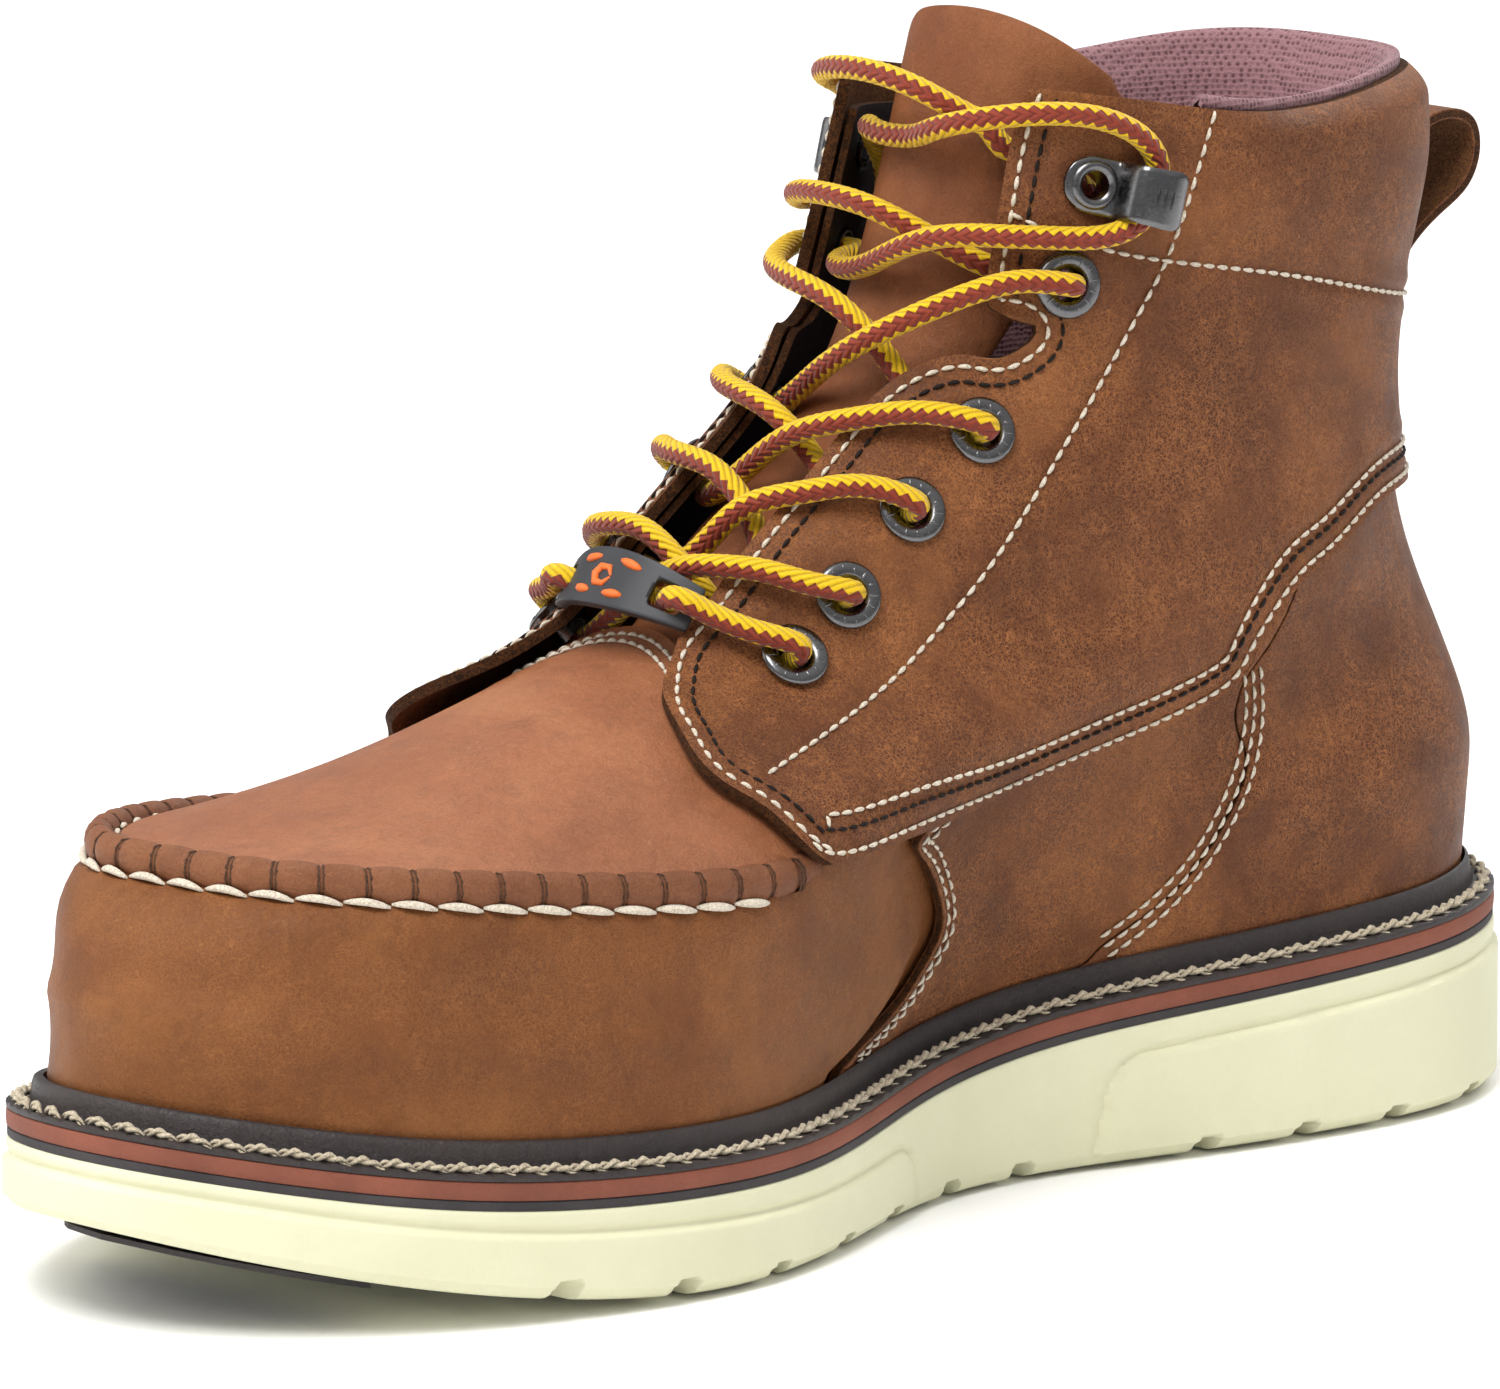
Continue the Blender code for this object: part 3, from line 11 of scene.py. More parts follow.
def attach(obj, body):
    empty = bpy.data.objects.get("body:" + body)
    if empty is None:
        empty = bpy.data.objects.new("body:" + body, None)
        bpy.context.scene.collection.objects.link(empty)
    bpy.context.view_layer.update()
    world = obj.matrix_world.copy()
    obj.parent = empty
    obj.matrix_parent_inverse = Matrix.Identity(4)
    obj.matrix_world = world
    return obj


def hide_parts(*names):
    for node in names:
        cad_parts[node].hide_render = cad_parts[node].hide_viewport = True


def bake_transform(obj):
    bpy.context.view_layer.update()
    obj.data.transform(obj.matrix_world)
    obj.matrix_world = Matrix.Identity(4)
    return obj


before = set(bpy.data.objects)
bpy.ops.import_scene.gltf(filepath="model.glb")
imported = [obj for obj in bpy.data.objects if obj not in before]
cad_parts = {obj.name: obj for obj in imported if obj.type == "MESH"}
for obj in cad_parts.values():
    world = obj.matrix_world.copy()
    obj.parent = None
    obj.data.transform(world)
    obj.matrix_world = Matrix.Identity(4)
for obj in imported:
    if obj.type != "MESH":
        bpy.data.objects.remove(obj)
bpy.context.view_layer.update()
MM = 0.001
TINY = 1e-9              # keeps a zero vector from dividing by zero


def unit(vectors):
    """The same vectors with length 1."""
    return vectors / (np.linalg.norm(vectors, axis=-1, keepdims=True) + TINY)


def reach_of(points, power=1.0):
    """How far along a line each of its points lies."""
    return np.r_[0, np.cumsum(np.linalg.norm(np.diff(points, axis=0), axis=1) ** power)]


def read_at(table, reach, at):
    """A table's columns read at distances along its line."""
    return np.stack([np.interp(at, reach, column) for column in table.T], -1)


# ---- driving dimensions (mm) -------------------------------------------------------------------
LEATHER = 1.8            # thickness of each leather panel
LAYER_GAP = 0.7          # air between two leather layers that lie on each other
LAP_DEPTH = LEATHER + LAYER_GAP
SOLE_GAP = 0.3           # air between the stacked sole layers
WELT_THICK = 1.0
BRICK_THICK = 3.0
DARK_THICK = 1.1
WELT_RIDGE = 4.6         # height of the storm ridge above the welt's shelf
TOE_SPRING = 16.2        # rise of the sole's underside at the toe
SPRING_START = -56.6     # y where the toe spring begins
TOE_TIP = -154.0
LACE_RADIUS = 1.9
ROUND = 120              # stations around the boot: 0 heel centre, 60 toe, 61 to 119 the lateral side
HALF = ROUND // 2
ROW_LENGTH = 4.5         # one row up the surface is about this many stations long

# outer edge of the welt, from the heel round the medial side to the toe and back on the lateral side
WELT_EDGE = [(1, 153), (25, 146), (38.7, 128), (42.6, 104), (39, 69), (32.4, 35), (34.8, 5), (47, -24),
             (56.5, -53), (55.5, -84), (46.5, -114.5), (30, -140), (6.5, -154), (-19.5, -147),
             (-39, -124), (-51.3, -93), (-56, -55), (-53, -15), (-47, 25), (-43, 65), (-42, 105),
             (-38, 128), (-23.5, 146)]
# height of the welt's top shelf along the boot
WELT_Y = [-155, -110, -60, -10, 40, 90, 155]
WELT_Z = [33.5, 25.3, 22.1, 22.7, 28.2, 31.9, 35.5]

# inset of the leather from the welt's edge at three heights, by share of the way round (0 heel, .5 toe)
FEATHER_INSET = [(0, 5.5), (.2, 5.5), (.3, 5.5), (.42, 6.5), (.5, 6.5), (.58, 6.5), (.7, 5.5), (.8, 5.5)]
WALL_INSET = [(0, 4), (.14, 4.5), (.21, 2), (.28, 1.5), (.34, 5), (.42, 5.5), (.5, 5.5), (.58, 7.5), (.68, 5),
              (.8, 4.5)]
SEAM_INSET = [(0, 5), (.09, 6), (.15, 3.5), (.21, -2), (.27, -1), (.33, 6), (.38, 10.5), (.44, 14),
              (.47, 19.5), (.5, 21.5), (.53, 17), (.57, 11), (.63, 9), (.7, 7), (.8, 6), (.9, 6.5)]
TOE_TUCK = 3.0           # how much the toe wall is drawn in halfway between its widest level and the moc seam
FEATHER_RISE = 4.8       # the leather shows from this height above the welt
WALL_RISE = 19.0
SEAM_Y = [-155, -120, -60, -10, 155]
SEAM_Z = [70.5, 68, 62, 61.5, 67]
# level sections of the shaft: z, back y, front y, medial and lateral half width, fullness, egg shape
SHAFT = [(86, 141.7, -55.7, 37.7, 40.7, .75, .05),
         (106, 132.2, -19.7, 35.7, 37.7, .72, .12),
         (128, 129.2, 8.3, 33.7, 34.7, .7, .12),
         (153, 133.7, 24.3, 34.2, 34.7, .7, .06),
         (175, 136.2, 34.3, 34.2, 34.7, .7, 0)]
COLLAR_FRONT_RISE = 5.0
COLLAR_SIDE_DIP = 4.5

# panel edges, as (station around, row up the surface)
LOWER_EDGE = [(0.25, 4.0), (7.8, 3.95), (13.8, 3.87), (18.5, 3.53), (21.2, 3.25), (21.6, 2.98), (21, 2.72),
              (22.4, 2.54), (25, 2.42), (28.5, 2.3), (33, 2.19), (36.5, 2.12)]
FRONT_EDGE = [(36.5, 2.12), (38.3, 2.23), (41.6, 2.42), (44, 2.52), (47, 2.66), (50.5, 2.85), (53.2, 3.01),
              (55.2, 3.2), (56.3, 3.43)]
EYESTAY_EDGE = [(56.3, 3.43), (56.2, 3.7), (55.7, 4.2), (55.4, 4.6), (55.2, 4.93), (54.4, 5.15), (53.2, 5.28),
                (50.5, 5.36), (47.2, 5.4), (46.6, 5.48), (47.6, 5.6), (50.6, 5.74), (51, 6.03), (51.2, 6.4),
                (51.2, 6.73), (50.8, 7.0)]
SIDE_FRONT = [(32.8, -1), (32.2, .12), (30, .43), (28.8, .8), (28, 1.05), (27.7, 1.4), (28.8, 1.8),
              (30.8, 2.1), (30.8, 2.55)]
SIDE_BACK = [(22.4, -1), (21.8, .12), (20.2, .43), (18.5, .95), (17.3, 1.5), (17, 2.05), (18.4, 2.35),
             (19.6, 2.65), (19.8, 3.0), (19.3, 3.8)]
SIDE_TOP = [(19.3, 3.8), (22.5, 3.6), (24.5, 3.1), (27, 2.72), (30.8, 2.55)]
EYELETS = [(50.2, 3.28), (49.8, 3.75), (48.5, 4.33), (47.2, 4.85), (45.5, 5.8)]
HOOK = (45.4, 6.43)
EYELET_SEAT = [1.4, 1.0, 0.45, 0.45, 0.45]   # each flange clears the leather's curve by this much

# apron (the flat plug on top of the toe)
APRON_Y = [-132, -110, -90, -70, -50, -28, -10]
APRON_Z = [71, 73.5, 77, 81.5, 87.5, 95, 103]
MOC_TOP = 1.94           # row where the toe wall ends under the moc seam
ROLL_OUT = 2.4
ROLL_UP = 3.2
APRON_INSET = 4.6
APRON_LIFT = 2.5

# the rubber tag on the laces
TAG_MIDDLE = np.array([0.0, -36.45, 105.5])    # the middle of its upper face, on the crest of its arch
TAG_NORMAL = np.array([0.0, -0.8, 0.6])
TAG_RISE = np.array([0.0, 0.6, 0.8])
TAG_HALF = 15.8
TAG_FALL = 7.5           # how much lower its ends are than its crest
TAG_LENGTH = 10.5
TAG_NARROWING = 1.45
TAG_THICK = 2.0
TAG_SLOT_X = 11.8
TAG_SLOT_WIDE = 2.9
TAG_SLOT_TALL = 2.5

# points of the lace's route as (station around, row up, depth over the upper's face)
UNDER = -4.1             # depth of the lace between the facing and the tongue


def mirrored(spots):
    """The same spots on the other side of the boot; the first number of each is its station."""
    other = np.array(spots, float)
    other[..., 0] = ROUND - other[..., 0]
    return other


def on_side(side, spots):
    """Spots of the medial side, as they are or on the lateral side."""
    return spots if side == "medial" else mirrored(spots)


HOOK_TURN = [(51.3, 6.82, 5.2), (47, 6.86, 5.6), (43.6, 6.78, 5.4), (41.7, 6.62, 5.0), (41.2, 6.43, 4.9),
             (41.6, 6.25, 5.0), (43.6, 6.12, 5.4), (47.5, 6.1, 5.6), (50.6, 6.1, 5.2)]
TUCKED_END = [(77.2, 6.0, -4.4), (76.2, 6.3, -4.4), (73.5, 6.5, UNDER), (70.2, 6.63, -4.0), (68, 6.66, -3.6)]
MEDIAL_TOP = TUCKED_END + [
    (64, 6.66, -3.2), (60.2, 6.67, -2.2), (57.4, 6.7, 0.9), (55.2, 6.74, 3.2)
] + HOOK_TURN + [
    (53.8, 6.08, 4.1), (57, 6.0, 1.6), (60.8, 5.91, -2.2), (64.5, 5.86, -4.1), (70, 5.82, UNDER)]
LATERAL_TOP = [
    *mirrored(TUCKED_END), (53.4, 6.76, -2.8), (55.3, 6.83, -1.2), (57.6, 6.9, 2.6), (60.2, 6.95, 4.9),
    (64, 6.97, 5.6), (69, 6.92, 5.6), *mirrored(HOOK_TURN[1:-1]), (68, 6.18, 5.6), (63, 6.22, 5.4),
    (59.4, 6.19, 3.6), (56.9, 6.13, -0.7), (54.8, 6.07, -3.0), (52.7, 6.0, -3.5), (50.2, 5.92, UNDER)]
# from outside an eyelet to inside the next lower one on the other side; the medial strands lie on top
MEDIAL_STRANDS = {
    5: [(48.2, 5.83, 6.2), (50.9, 5.77, 5.6), (53.8, 5.6, 4.8), (56.6, 5.41, 3.6), (59.5, 5.28, 0.8),
        (62.3, 5.19, -2.6), (66, 5.05, -4.4), (70, 4.93, UNDER)],
    4: [(50.5, 4.92, 6.3), (54.2, 4.87, 5.4), (57.5, 4.77, 3.7), (60, 4.68, 0.8), (62.4, 4.58, -2.6),
        (66, 4.45, -4.4), (69, 4.38, UNDER)],
    3: [(51.4, 4.42, 6.3), (54.3, 4.38, 5.4), (57.2, 4.29, 3.5), (58.6, 4.19, 0.9), (60.1, 4.07, -1.9),
        (62, 3.97, -3.7), (66, 3.84, -4.4), (68.4, 3.78, UNDER)],
    2: [(51.8, 3.79, 6.8), (54.2, 3.86, 6.2), (56.2, 3.87, 5.6), (57.8, 3.85, 4.8), (59.3, 3.8, 2.8),
        (61, 3.73, -0.4), (62.8, 3.64, -3.0), (65, 3.5, -4.4), (67.6, 3.38, -4.5)],
}
LATERAL_STRANDS = {
    5: [(72.4, 5.78, 6.6), (69, 5.73, 6.2), (64.5, 5.68, 5.4), (60.4, 5.6, 4.2), (58.2, 5.5, 0.6),
        (56.4, 5.39, -2.5), (55, 5.3, -3.6), (52.6, 5.15, -4.4), (50.2, 5.0, UNDER)],
    4: [(69.5, 4.92, 6.4), (65, 4.92, 5.6), (61.2, 4.88, 4.3), (59, 4.83, 0.6), (57.4, 4.77, -2.9),
        (56.3, 4.72, -3.4), (54.4, 4.64, -4.4), (51.4, 4.47, UNDER)],
    3: [(68.6, 4.43, 6.5), (64.5, 4.47, 5.6), (61, 4.46, 4.3), (58.7, 4.39, 0.7), (57.2, 4.29, -2.2),
        (56.3, 4.21, -3.4), (54.6, 4.08, -4.4), (52.2, 3.92, -4.4)],
    2: [(68.2, 3.86, 6.8), (65, 3.97, 6.2), (62, 4.03, 5.0), (60.2, 3.99, 3.0), (58.9, 3.94, 0.2),
        (57.7, 3.88, -2.4), (56.4, 3.8, -4.2), (54, 3.6, -4.5), (51.9, 3.4, -4.5)],
}
BAR_START = [(51.3, 3.33, 7.2), (53.4, 3.42, 6.8)]
# the bar's way over the tag's end, down through its slot and under it, as x and height over the tag's crest
BAR_IN_TAG = [(18.2, -7.0), (16.2, -4.6), (13.6, -3.9), (11.2, -5.3), (8.0, -7.2), (4.5, -5.3)]
HOOK_THICK = 0.9

# the pull loop's middle line as (y, z)
LOOP_PATH = [(141.0, 160.0), (145.8, 162.8), (151, 163.3), (155.4, 161.4), (156.7, 157.5), (154.4, 151.5),
             (148.7, 147.7), (142.2, 143.5)]
LOOP_WIDTH = 20.0
TREAD_Y = [-98, -76, -54, -32, -12, 8, 26, 62, 82, 102, 124]   # cross grooves of the tread
TREAD_WIDTH = 5.0
TREAD_DEPTH = 3.0
TREAD_START = 12.0       # x where each groove begins, beside the plain middle rib
TREAD_END = 75.0         # past the sole's edge
TREAD_SLANT = 7.0        # how much further back a groove's outer end lies
TONGUE_HALF = ([3.6, 4.2, 5.0, 5.8, 6.6, 7.1, 7.5], [6.5, 8.0, 10.5, 14.0, 18.0, 19.0, 16.0])
TONGUE_TOP = 7.48
TONGUE_DEPTH = 6.9
LINING_ROWS = [0, 3.6, 4.3, 5.0, 5.6, 6.4, 6.9, 7.2]
LINING_SOFT = [5.1, 4.9, 4.2, 5.0, 6.6, 7.0, 5.2, 3.2]     # the lining's depth at the back
LINING_PLAIN = [5.1, 4.9, 3.2, 2.8, 2.8, 2.8, 2.6, 2.0]    # and beside the lacing


# ---- curves ------------------------------------------------------------------------------------
def spline(knots, values, at):
    """Natural cubic spline through values (any shape after the first axis), held level outside."""
    knots = np.asarray(knots, float)
    values = np.asarray(values, float)
    tail = values.shape[1:]
    rows = values.reshape(len(knots), -1)
    at = np.asarray(at, float)
    flat = np.clip(at.ravel(), knots[0], knots[-1])
    step = np.diff(knots)
    matrix = np.eye(len(knots))
    right = np.zeros(rows.shape)
    for i in range(1, len(knots) - 1):
        matrix[i, i - 1] = step[i - 1]
        matrix[i, i] = 2 * (step[i - 1] + step[i])
        matrix[i, i + 1] = step[i]
        right[i] = 6 * ((rows[i + 1] - rows[i]) / step[i] - (rows[i] - rows[i - 1]) / step[i - 1])
    bend = np.linalg.solve(matrix, right)
    j = np.clip(np.searchsorted(knots, flat) - 1, 0, len(knots) - 2)
    t = (flat - knots[j])[:, None]
    h = step[j][:, None]
    slope = (rows[j + 1] - rows[j]) / h - h * (2 * bend[j] + bend[j + 1]) / 6
    out = rows[j] + t * slope + t ** 2 * bend[j] / 2 + t ** 3 * (bend[j + 1] - bend[j]) / (6 * h)
    return out.reshape(at.shape + tail)


def path(points, count, smooth=True):
    """count points evenly spaced along a curve through the given points."""
    fine = np.asarray(points, float)
    if smooth:
        reach = reach_of(fine)
        fine = spline(reach, fine, np.linspace(0, reach[-1], 400))
    reach = reach_of(fine)
    return read_at(fine, reach, np.linspace(0, reach[-1], count))


def edge(points, count):
    """count points along a panel's edge of (station, row) points, evenly spaced on the boot."""
    scale = np.array([1, ROW_LENGTH])
    return path(np.asarray(points, float) * scale, count) / scale


def closed_curve(points, count, lap=4):
    """A smooth closed curve of count points through the given ones; lap of them overlap at its join."""
    points = np.asarray(points, float)
    wrapped = np.vstack([points[-lap:], points, points[:lap + 1]])
    knots = np.arange(-lap, len(points) + lap + 1)
    return spline(knots, wrapped, np.linspace(0, len(points), count, endpoint=False))


def outline_normals(ring):
    """Level outward directions of a closed ring of points."""
    flat = ring[:, :2]
    along = np.roll(flat, -1, 0) - np.roll(flat, 1, 0)
    out = unit(np.stack([along[:, 1], -along[:, 0]], 1))
    return out * np.sign(((flat - flat.mean(0)) * out).sum())


def by_side(curve, back, front):
    """Resample a closed curve: HALF equal steps from back to front, and HALF on the other side."""
    curve = np.roll(curve, -back, 0)
    front = (front - back) % len(curve)
    sides = []
    for side in (curve[:front + 1], np.vstack([curve[front:], curve[:1]])):
        sides.append(path(side, HALF + 1, smooth=False)[:-1])
    return np.vstack(sides)


def around_share(pairs):
    """A periodic spline of (share of the way round, value) pairs, at the ROUND stations."""
    keys = np.array([pair[0] for pair in pairs])
    values = np.array([pair[1] for pair in pairs], float)
    at = np.arange(ROUND) / ROUND
    return spline(np.r_[keys - 1, keys, keys + 1], np.r_[values, values, values], at)


def inset_outline(inset):
    """The welt's outline moved inwards by an inset per station."""
    curve = closed_curve(WELT_EDGE, 480)
    curve = by_side(curve, curve[:, 1].argmax(), curve[:, 1].argmin())
    return curve - outline_normals(curve) * np.broadcast_to(inset, ROUND)[:, None]


def egg_section(z, back, front, medial, lateral, fullness, egg):
    """One level section of the shaft."""
    turn = np.linspace(0, np.pi, 200)
    y = (back + front) / 2 + (back - front) / 2 * np.cos(turn)
    wide = np.sin(turn).clip(0) ** fullness * (1 + egg * np.cos(turn))
    near = np.c_[medial * wide, y]
    far = np.c_[-lateral * wide, y][::-1][1:-1]
    ring = by_side(np.vstack([near, far]), 0, 199)
    return np.c_[ring, np.full(ROUND, float(z))]


# ---- the surface of the upper --------------------------------------------------------------------
UP_STEP = 0.05
AROUND_STEP = 0.25
TOP_ROW = 8.0


def build_rows():
    """The sections that the upper's outer face passes through, from the feather line to the collar."""
    rows = []
    for pairs, rise in ((FEATHER_INSET, FEATHER_RISE), (WALL_INSET, WALL_RISE)):
        ring = inset_outline(around_share(pairs))
        rows.append(np.c_[ring, spline(WELT_Y, WELT_Z, ring[:, 1]) + rise])
    ring = inset_outline(around_share(SEAM_INSET))
    rows.append(np.c_[ring, spline(SEAM_Y, SEAM_Z, ring[:, 1])])
    for section in SHAFT:
        rows.append(egg_section(*section))
    top = rows[-1]
    share = (SHAFT[-1][1] - top[:, 1]) / (SHAFT[-1][1] - SHAFT[-1][2])
    dip = COLLAR_SIDE_DIP * np.sin(np.pi * share.clip(0, 1)) ** 2
    top[:, 2] += COLLAR_FRONT_RISE * share - dip
    return np.array(rows)


def build_table():
    """Dense grids of points and outward normals over row -1 to TOP_ROW and the stations around."""
    rows = build_rows()
    ups = np.arange(-1, TOP_ROW + UP_STEP / 2, UP_STEP)
    rings = spline(np.arange(len(rows)), rows, ups.clip(0, 7))
    foot = inset_outline(around_share(FEATHER_INSET) + 0.3)
    foot = np.c_[foot, spline(WELT_Y, WELT_Z, foot[:, 1]) + 0.8]
    middle = ((ups > 1) & (ups < 2)) * np.sin(np.pi * (ups - 1))
    toe = ((24 - np.abs(np.arange(ROUND) - HALF)) / 8).clip(0, 1)
    rings[..., :2] -= TOE_TUCK * middle[:, None, None] * toe[None, :, None] * outline_normals(rows[1])
    below = ups < 0
    rings[below] = rows[0] + (rows[0] - foot) * ups[below][:, None, None]
    above = ups > 7
    rise = (rings[ups.searchsorted(6.99)] - rings[ups.searchsorted(6.49)]) * 2
    rings[above] = rows[7] + rise * (ups[above] - 7)[:, None, None]
    at = np.arange(0, ROUND, AROUND_STEP)
    i = np.floor(at).astype(int)
    f = (at - i)[None, :, None]
    p0, p1, p2, p3 = [rings[:, (i + k) % ROUND] for k in (-1, 0, 1, 2)]
    points = p1 + 0.5 * f * (p2 - p0 + f * (2 * p0 - 5 * p1 + 4 * p2 - p3 + f * (3 * (p1 - p2) + p3 - p0)))
    normals = unit(np.cross(np.roll(points, -2, 1) - np.roll(points, 2, 1), np.gradient(points, axis=0)))
    return points, normals * np.sign((normals * (points - points.mean((0, 1)))).sum())


POINTS, NORMALS = build_table()


def look_up(table, around, up):
    """Bilinear reading of a table at stations around and rows up."""
    a = np.asarray(around, float) / AROUND_STEP
    u = ((np.asarray(up, float) + 1) / UP_STEP).clip(0, table.shape[0] - 1.001)
    i = np.floor(a).astype(int)
    j = np.floor(u).astype(int)
    fa = (a - i)[..., None]
    fu = (u - j)[..., None]
    n = table.shape[1]
    low = table[j, i % n] * (1 - fa) + table[j, (i + 1) % n] * fa
    high = table[j + 1, i % n] * (1 - fa) + table[j + 1, (i + 1) % n] * fa
    return low * (1 - fu) + high * fu


def surface(around, up, depth=0.0):
    """Points on the upper's outer face, moved out along the normal by depth."""
    around, up, depth = np.broadcast_arrays(around, up, depth)
    return look_up(POINTS, around, up) + normal_at(around, up) * depth[..., None]


def normal_at(around, up):
    return unit(look_up(NORMALS, np.asarray(around), np.asarray(up)))


def coons(bottom, right, top, left):
    """Fill four edges given as (station, row) points: bottom and top run left to right."""
    return coons_at(bottom, right, top, left, np.linspace(0, 1, len(bottom)))


def coons_at(bottom, right, top, left, share):
    """The same, with the share of the width at which each column lies."""
    s = share[None, :, None]
    r = np.linspace(0, 1, len(left))[:, None, None]
    ruled = (1 - r) * bottom[None] + r * top[None] + (1 - s) * left[:, None] + s * right[:, None]
    corners = ((1 - r) * (1 - s) * bottom[0] + (1 - r) * s * bottom[-1]
               + r * (1 - s) * top[0] + r * s * top[-1])
    return ruled - corners


def grid_faces(rows, cols, start=0, wrap=False):
    """Quads of a grid of rows by cols points; wrap joins the last column to the first."""
    faces = []
    for i in range(rows - 1):
        for j in range(cols if wrap else cols - 1):
            k = (j + 1) % cols
            faces.append((start + i * cols + j, start + i * cols + k,
                          start + (i + 1) * cols + k, start + (i + 1) * cols + j))
    return faces


def frame_at(around, up):
    """Outward normal and the two directions along the surface: towards the toe side, and upwards."""
    out = normal_at(around, up)
    rise = look_up(POINTS, around, up + .1) - look_up(POINTS, around, up)
    rise = unit(rise - out * rise.dot(out))
    return out, np.cross(rise, out), rise


def ring_of_points(centre, across, upward, radius, sides):
    turn = np.arange(sides) * 2 * np.pi / sides
    return centre + radius * (np.cos(turn)[:, None] * across + np.sin(turn)[:, None] * upward)


def sole_floor(y):
    """Height of the sole's underside: flat, then rising to the toe."""
    share = ((SPRING_START - np.asarray(y)) / (SPRING_START - TOE_TIP)).clip(0, 1.1)
    return TOE_SPRING * share ** 1.8


def seam_x(y, lateral=False):
    """x of the moc seam's row at a given y."""
    ring = look_up(POINTS, np.arange(0, ROUND + 1), np.full(ROUND + 1, 2.0))
    side = ring[HALF:] if lateral else ring[HALF::-1]
    side = side[side[:, 1] < 60]
    return np.interp(y, side[:, 1], side[:, 0])


def apron_height(x, y):
    """Height of the apron's upper face: an arch between the two sides of the moc seam."""
    right = seam_x(y)
    left = seam_x(y, lateral=True)
    middle = (right + left) / 2
    half = np.maximum((right - left) / 2, 3)
    share = np.abs((x - middle) / half).clip(0, 1)
    edge = spline(SEAM_Y, SEAM_Z, y) + APRON_LIFT
    crown = np.maximum(spline(APRON_Y, APRON_Z, y), edge + 0.8)
    return edge + (crown - edge) * (1 - share ** 2)


def level_normal(around):
    return unit(normal_at(around, 2.0) * (1, 1, 0))


def seam_point(around, inward=0.0, lift=0.0):
    """A point of the moc seam's row, moved inwards and up."""
    return look_up(POINTS, around, 2.0) - level_normal(around) * inward + (0, 0, lift)


def lining_depth(around, up):
    """How deep under the upper's face the shaft lining lies: padded at the collar's back."""
    share = ((np.abs(around) - 24) / 10).clip(0, 1)
    return spline(LINING_ROWS, LINING_SOFT, up) * (1 - share) + spline(LINING_ROWS, LINING_PLAIN, up) * share


def tag_point(x, over):
    """A point across the tag's middle line, at a height over its crest."""
    return TAG_MIDDLE + np.array([x, 0, 0]) + TAG_NORMAL * over


def tag_out(x):
    """The outward direction of the tag's arched face."""
    return unit(TAG_NORMAL + (2 * TAG_FALL * x / TAG_HALF ** 2, 0, 0))


def tag_face(x):
    """A point of the tag's middle line."""
    return tag_point(x, -TAG_FALL * (x / TAG_HALF) ** 2)


def through_eyelet(number):
    """The lace's way outwards through an eyelet on the medial side."""
    around, up = EYELETS[number - 1]
    lift = LAYER_GAP + LEATHER + EYELET_SEAT[number - 1]
    return [(around, up, UNDER), (around, up, 0.5), (around, up, lift + 2.8)]


def half_route(top, medial):
    """One half of the lace: from its tucked end round a hook, then through eyelets down to the lowest."""
    parts = [top]
    for number in (5, 4, 3, 2):
        way = through_eyelet(number)
        parts += [way, MEDIAL_STRANDS[number]] if medial else [mirrored(way), LATERAL_STRANDS[number]]
        medial = not medial
    lowest = through_eyelet(1) + BAR_START
    parts.append(lowest if medial else mirrored(lowest))
    return np.vstack(parts)


LACE_STEP = 0.75


# ---- node materials ------------------------------------------------------------------------------
def srgb(red, green, blue):
    """A linear colour from 0 to 255 display values."""
    line = []
    for value in (red, green, blue):
        share = value / 255
        line.append(share / 12.92 if share <= 0.04045 else ((share + 0.055) / 1.055) ** 2.4)
    return (*line, 1.0)


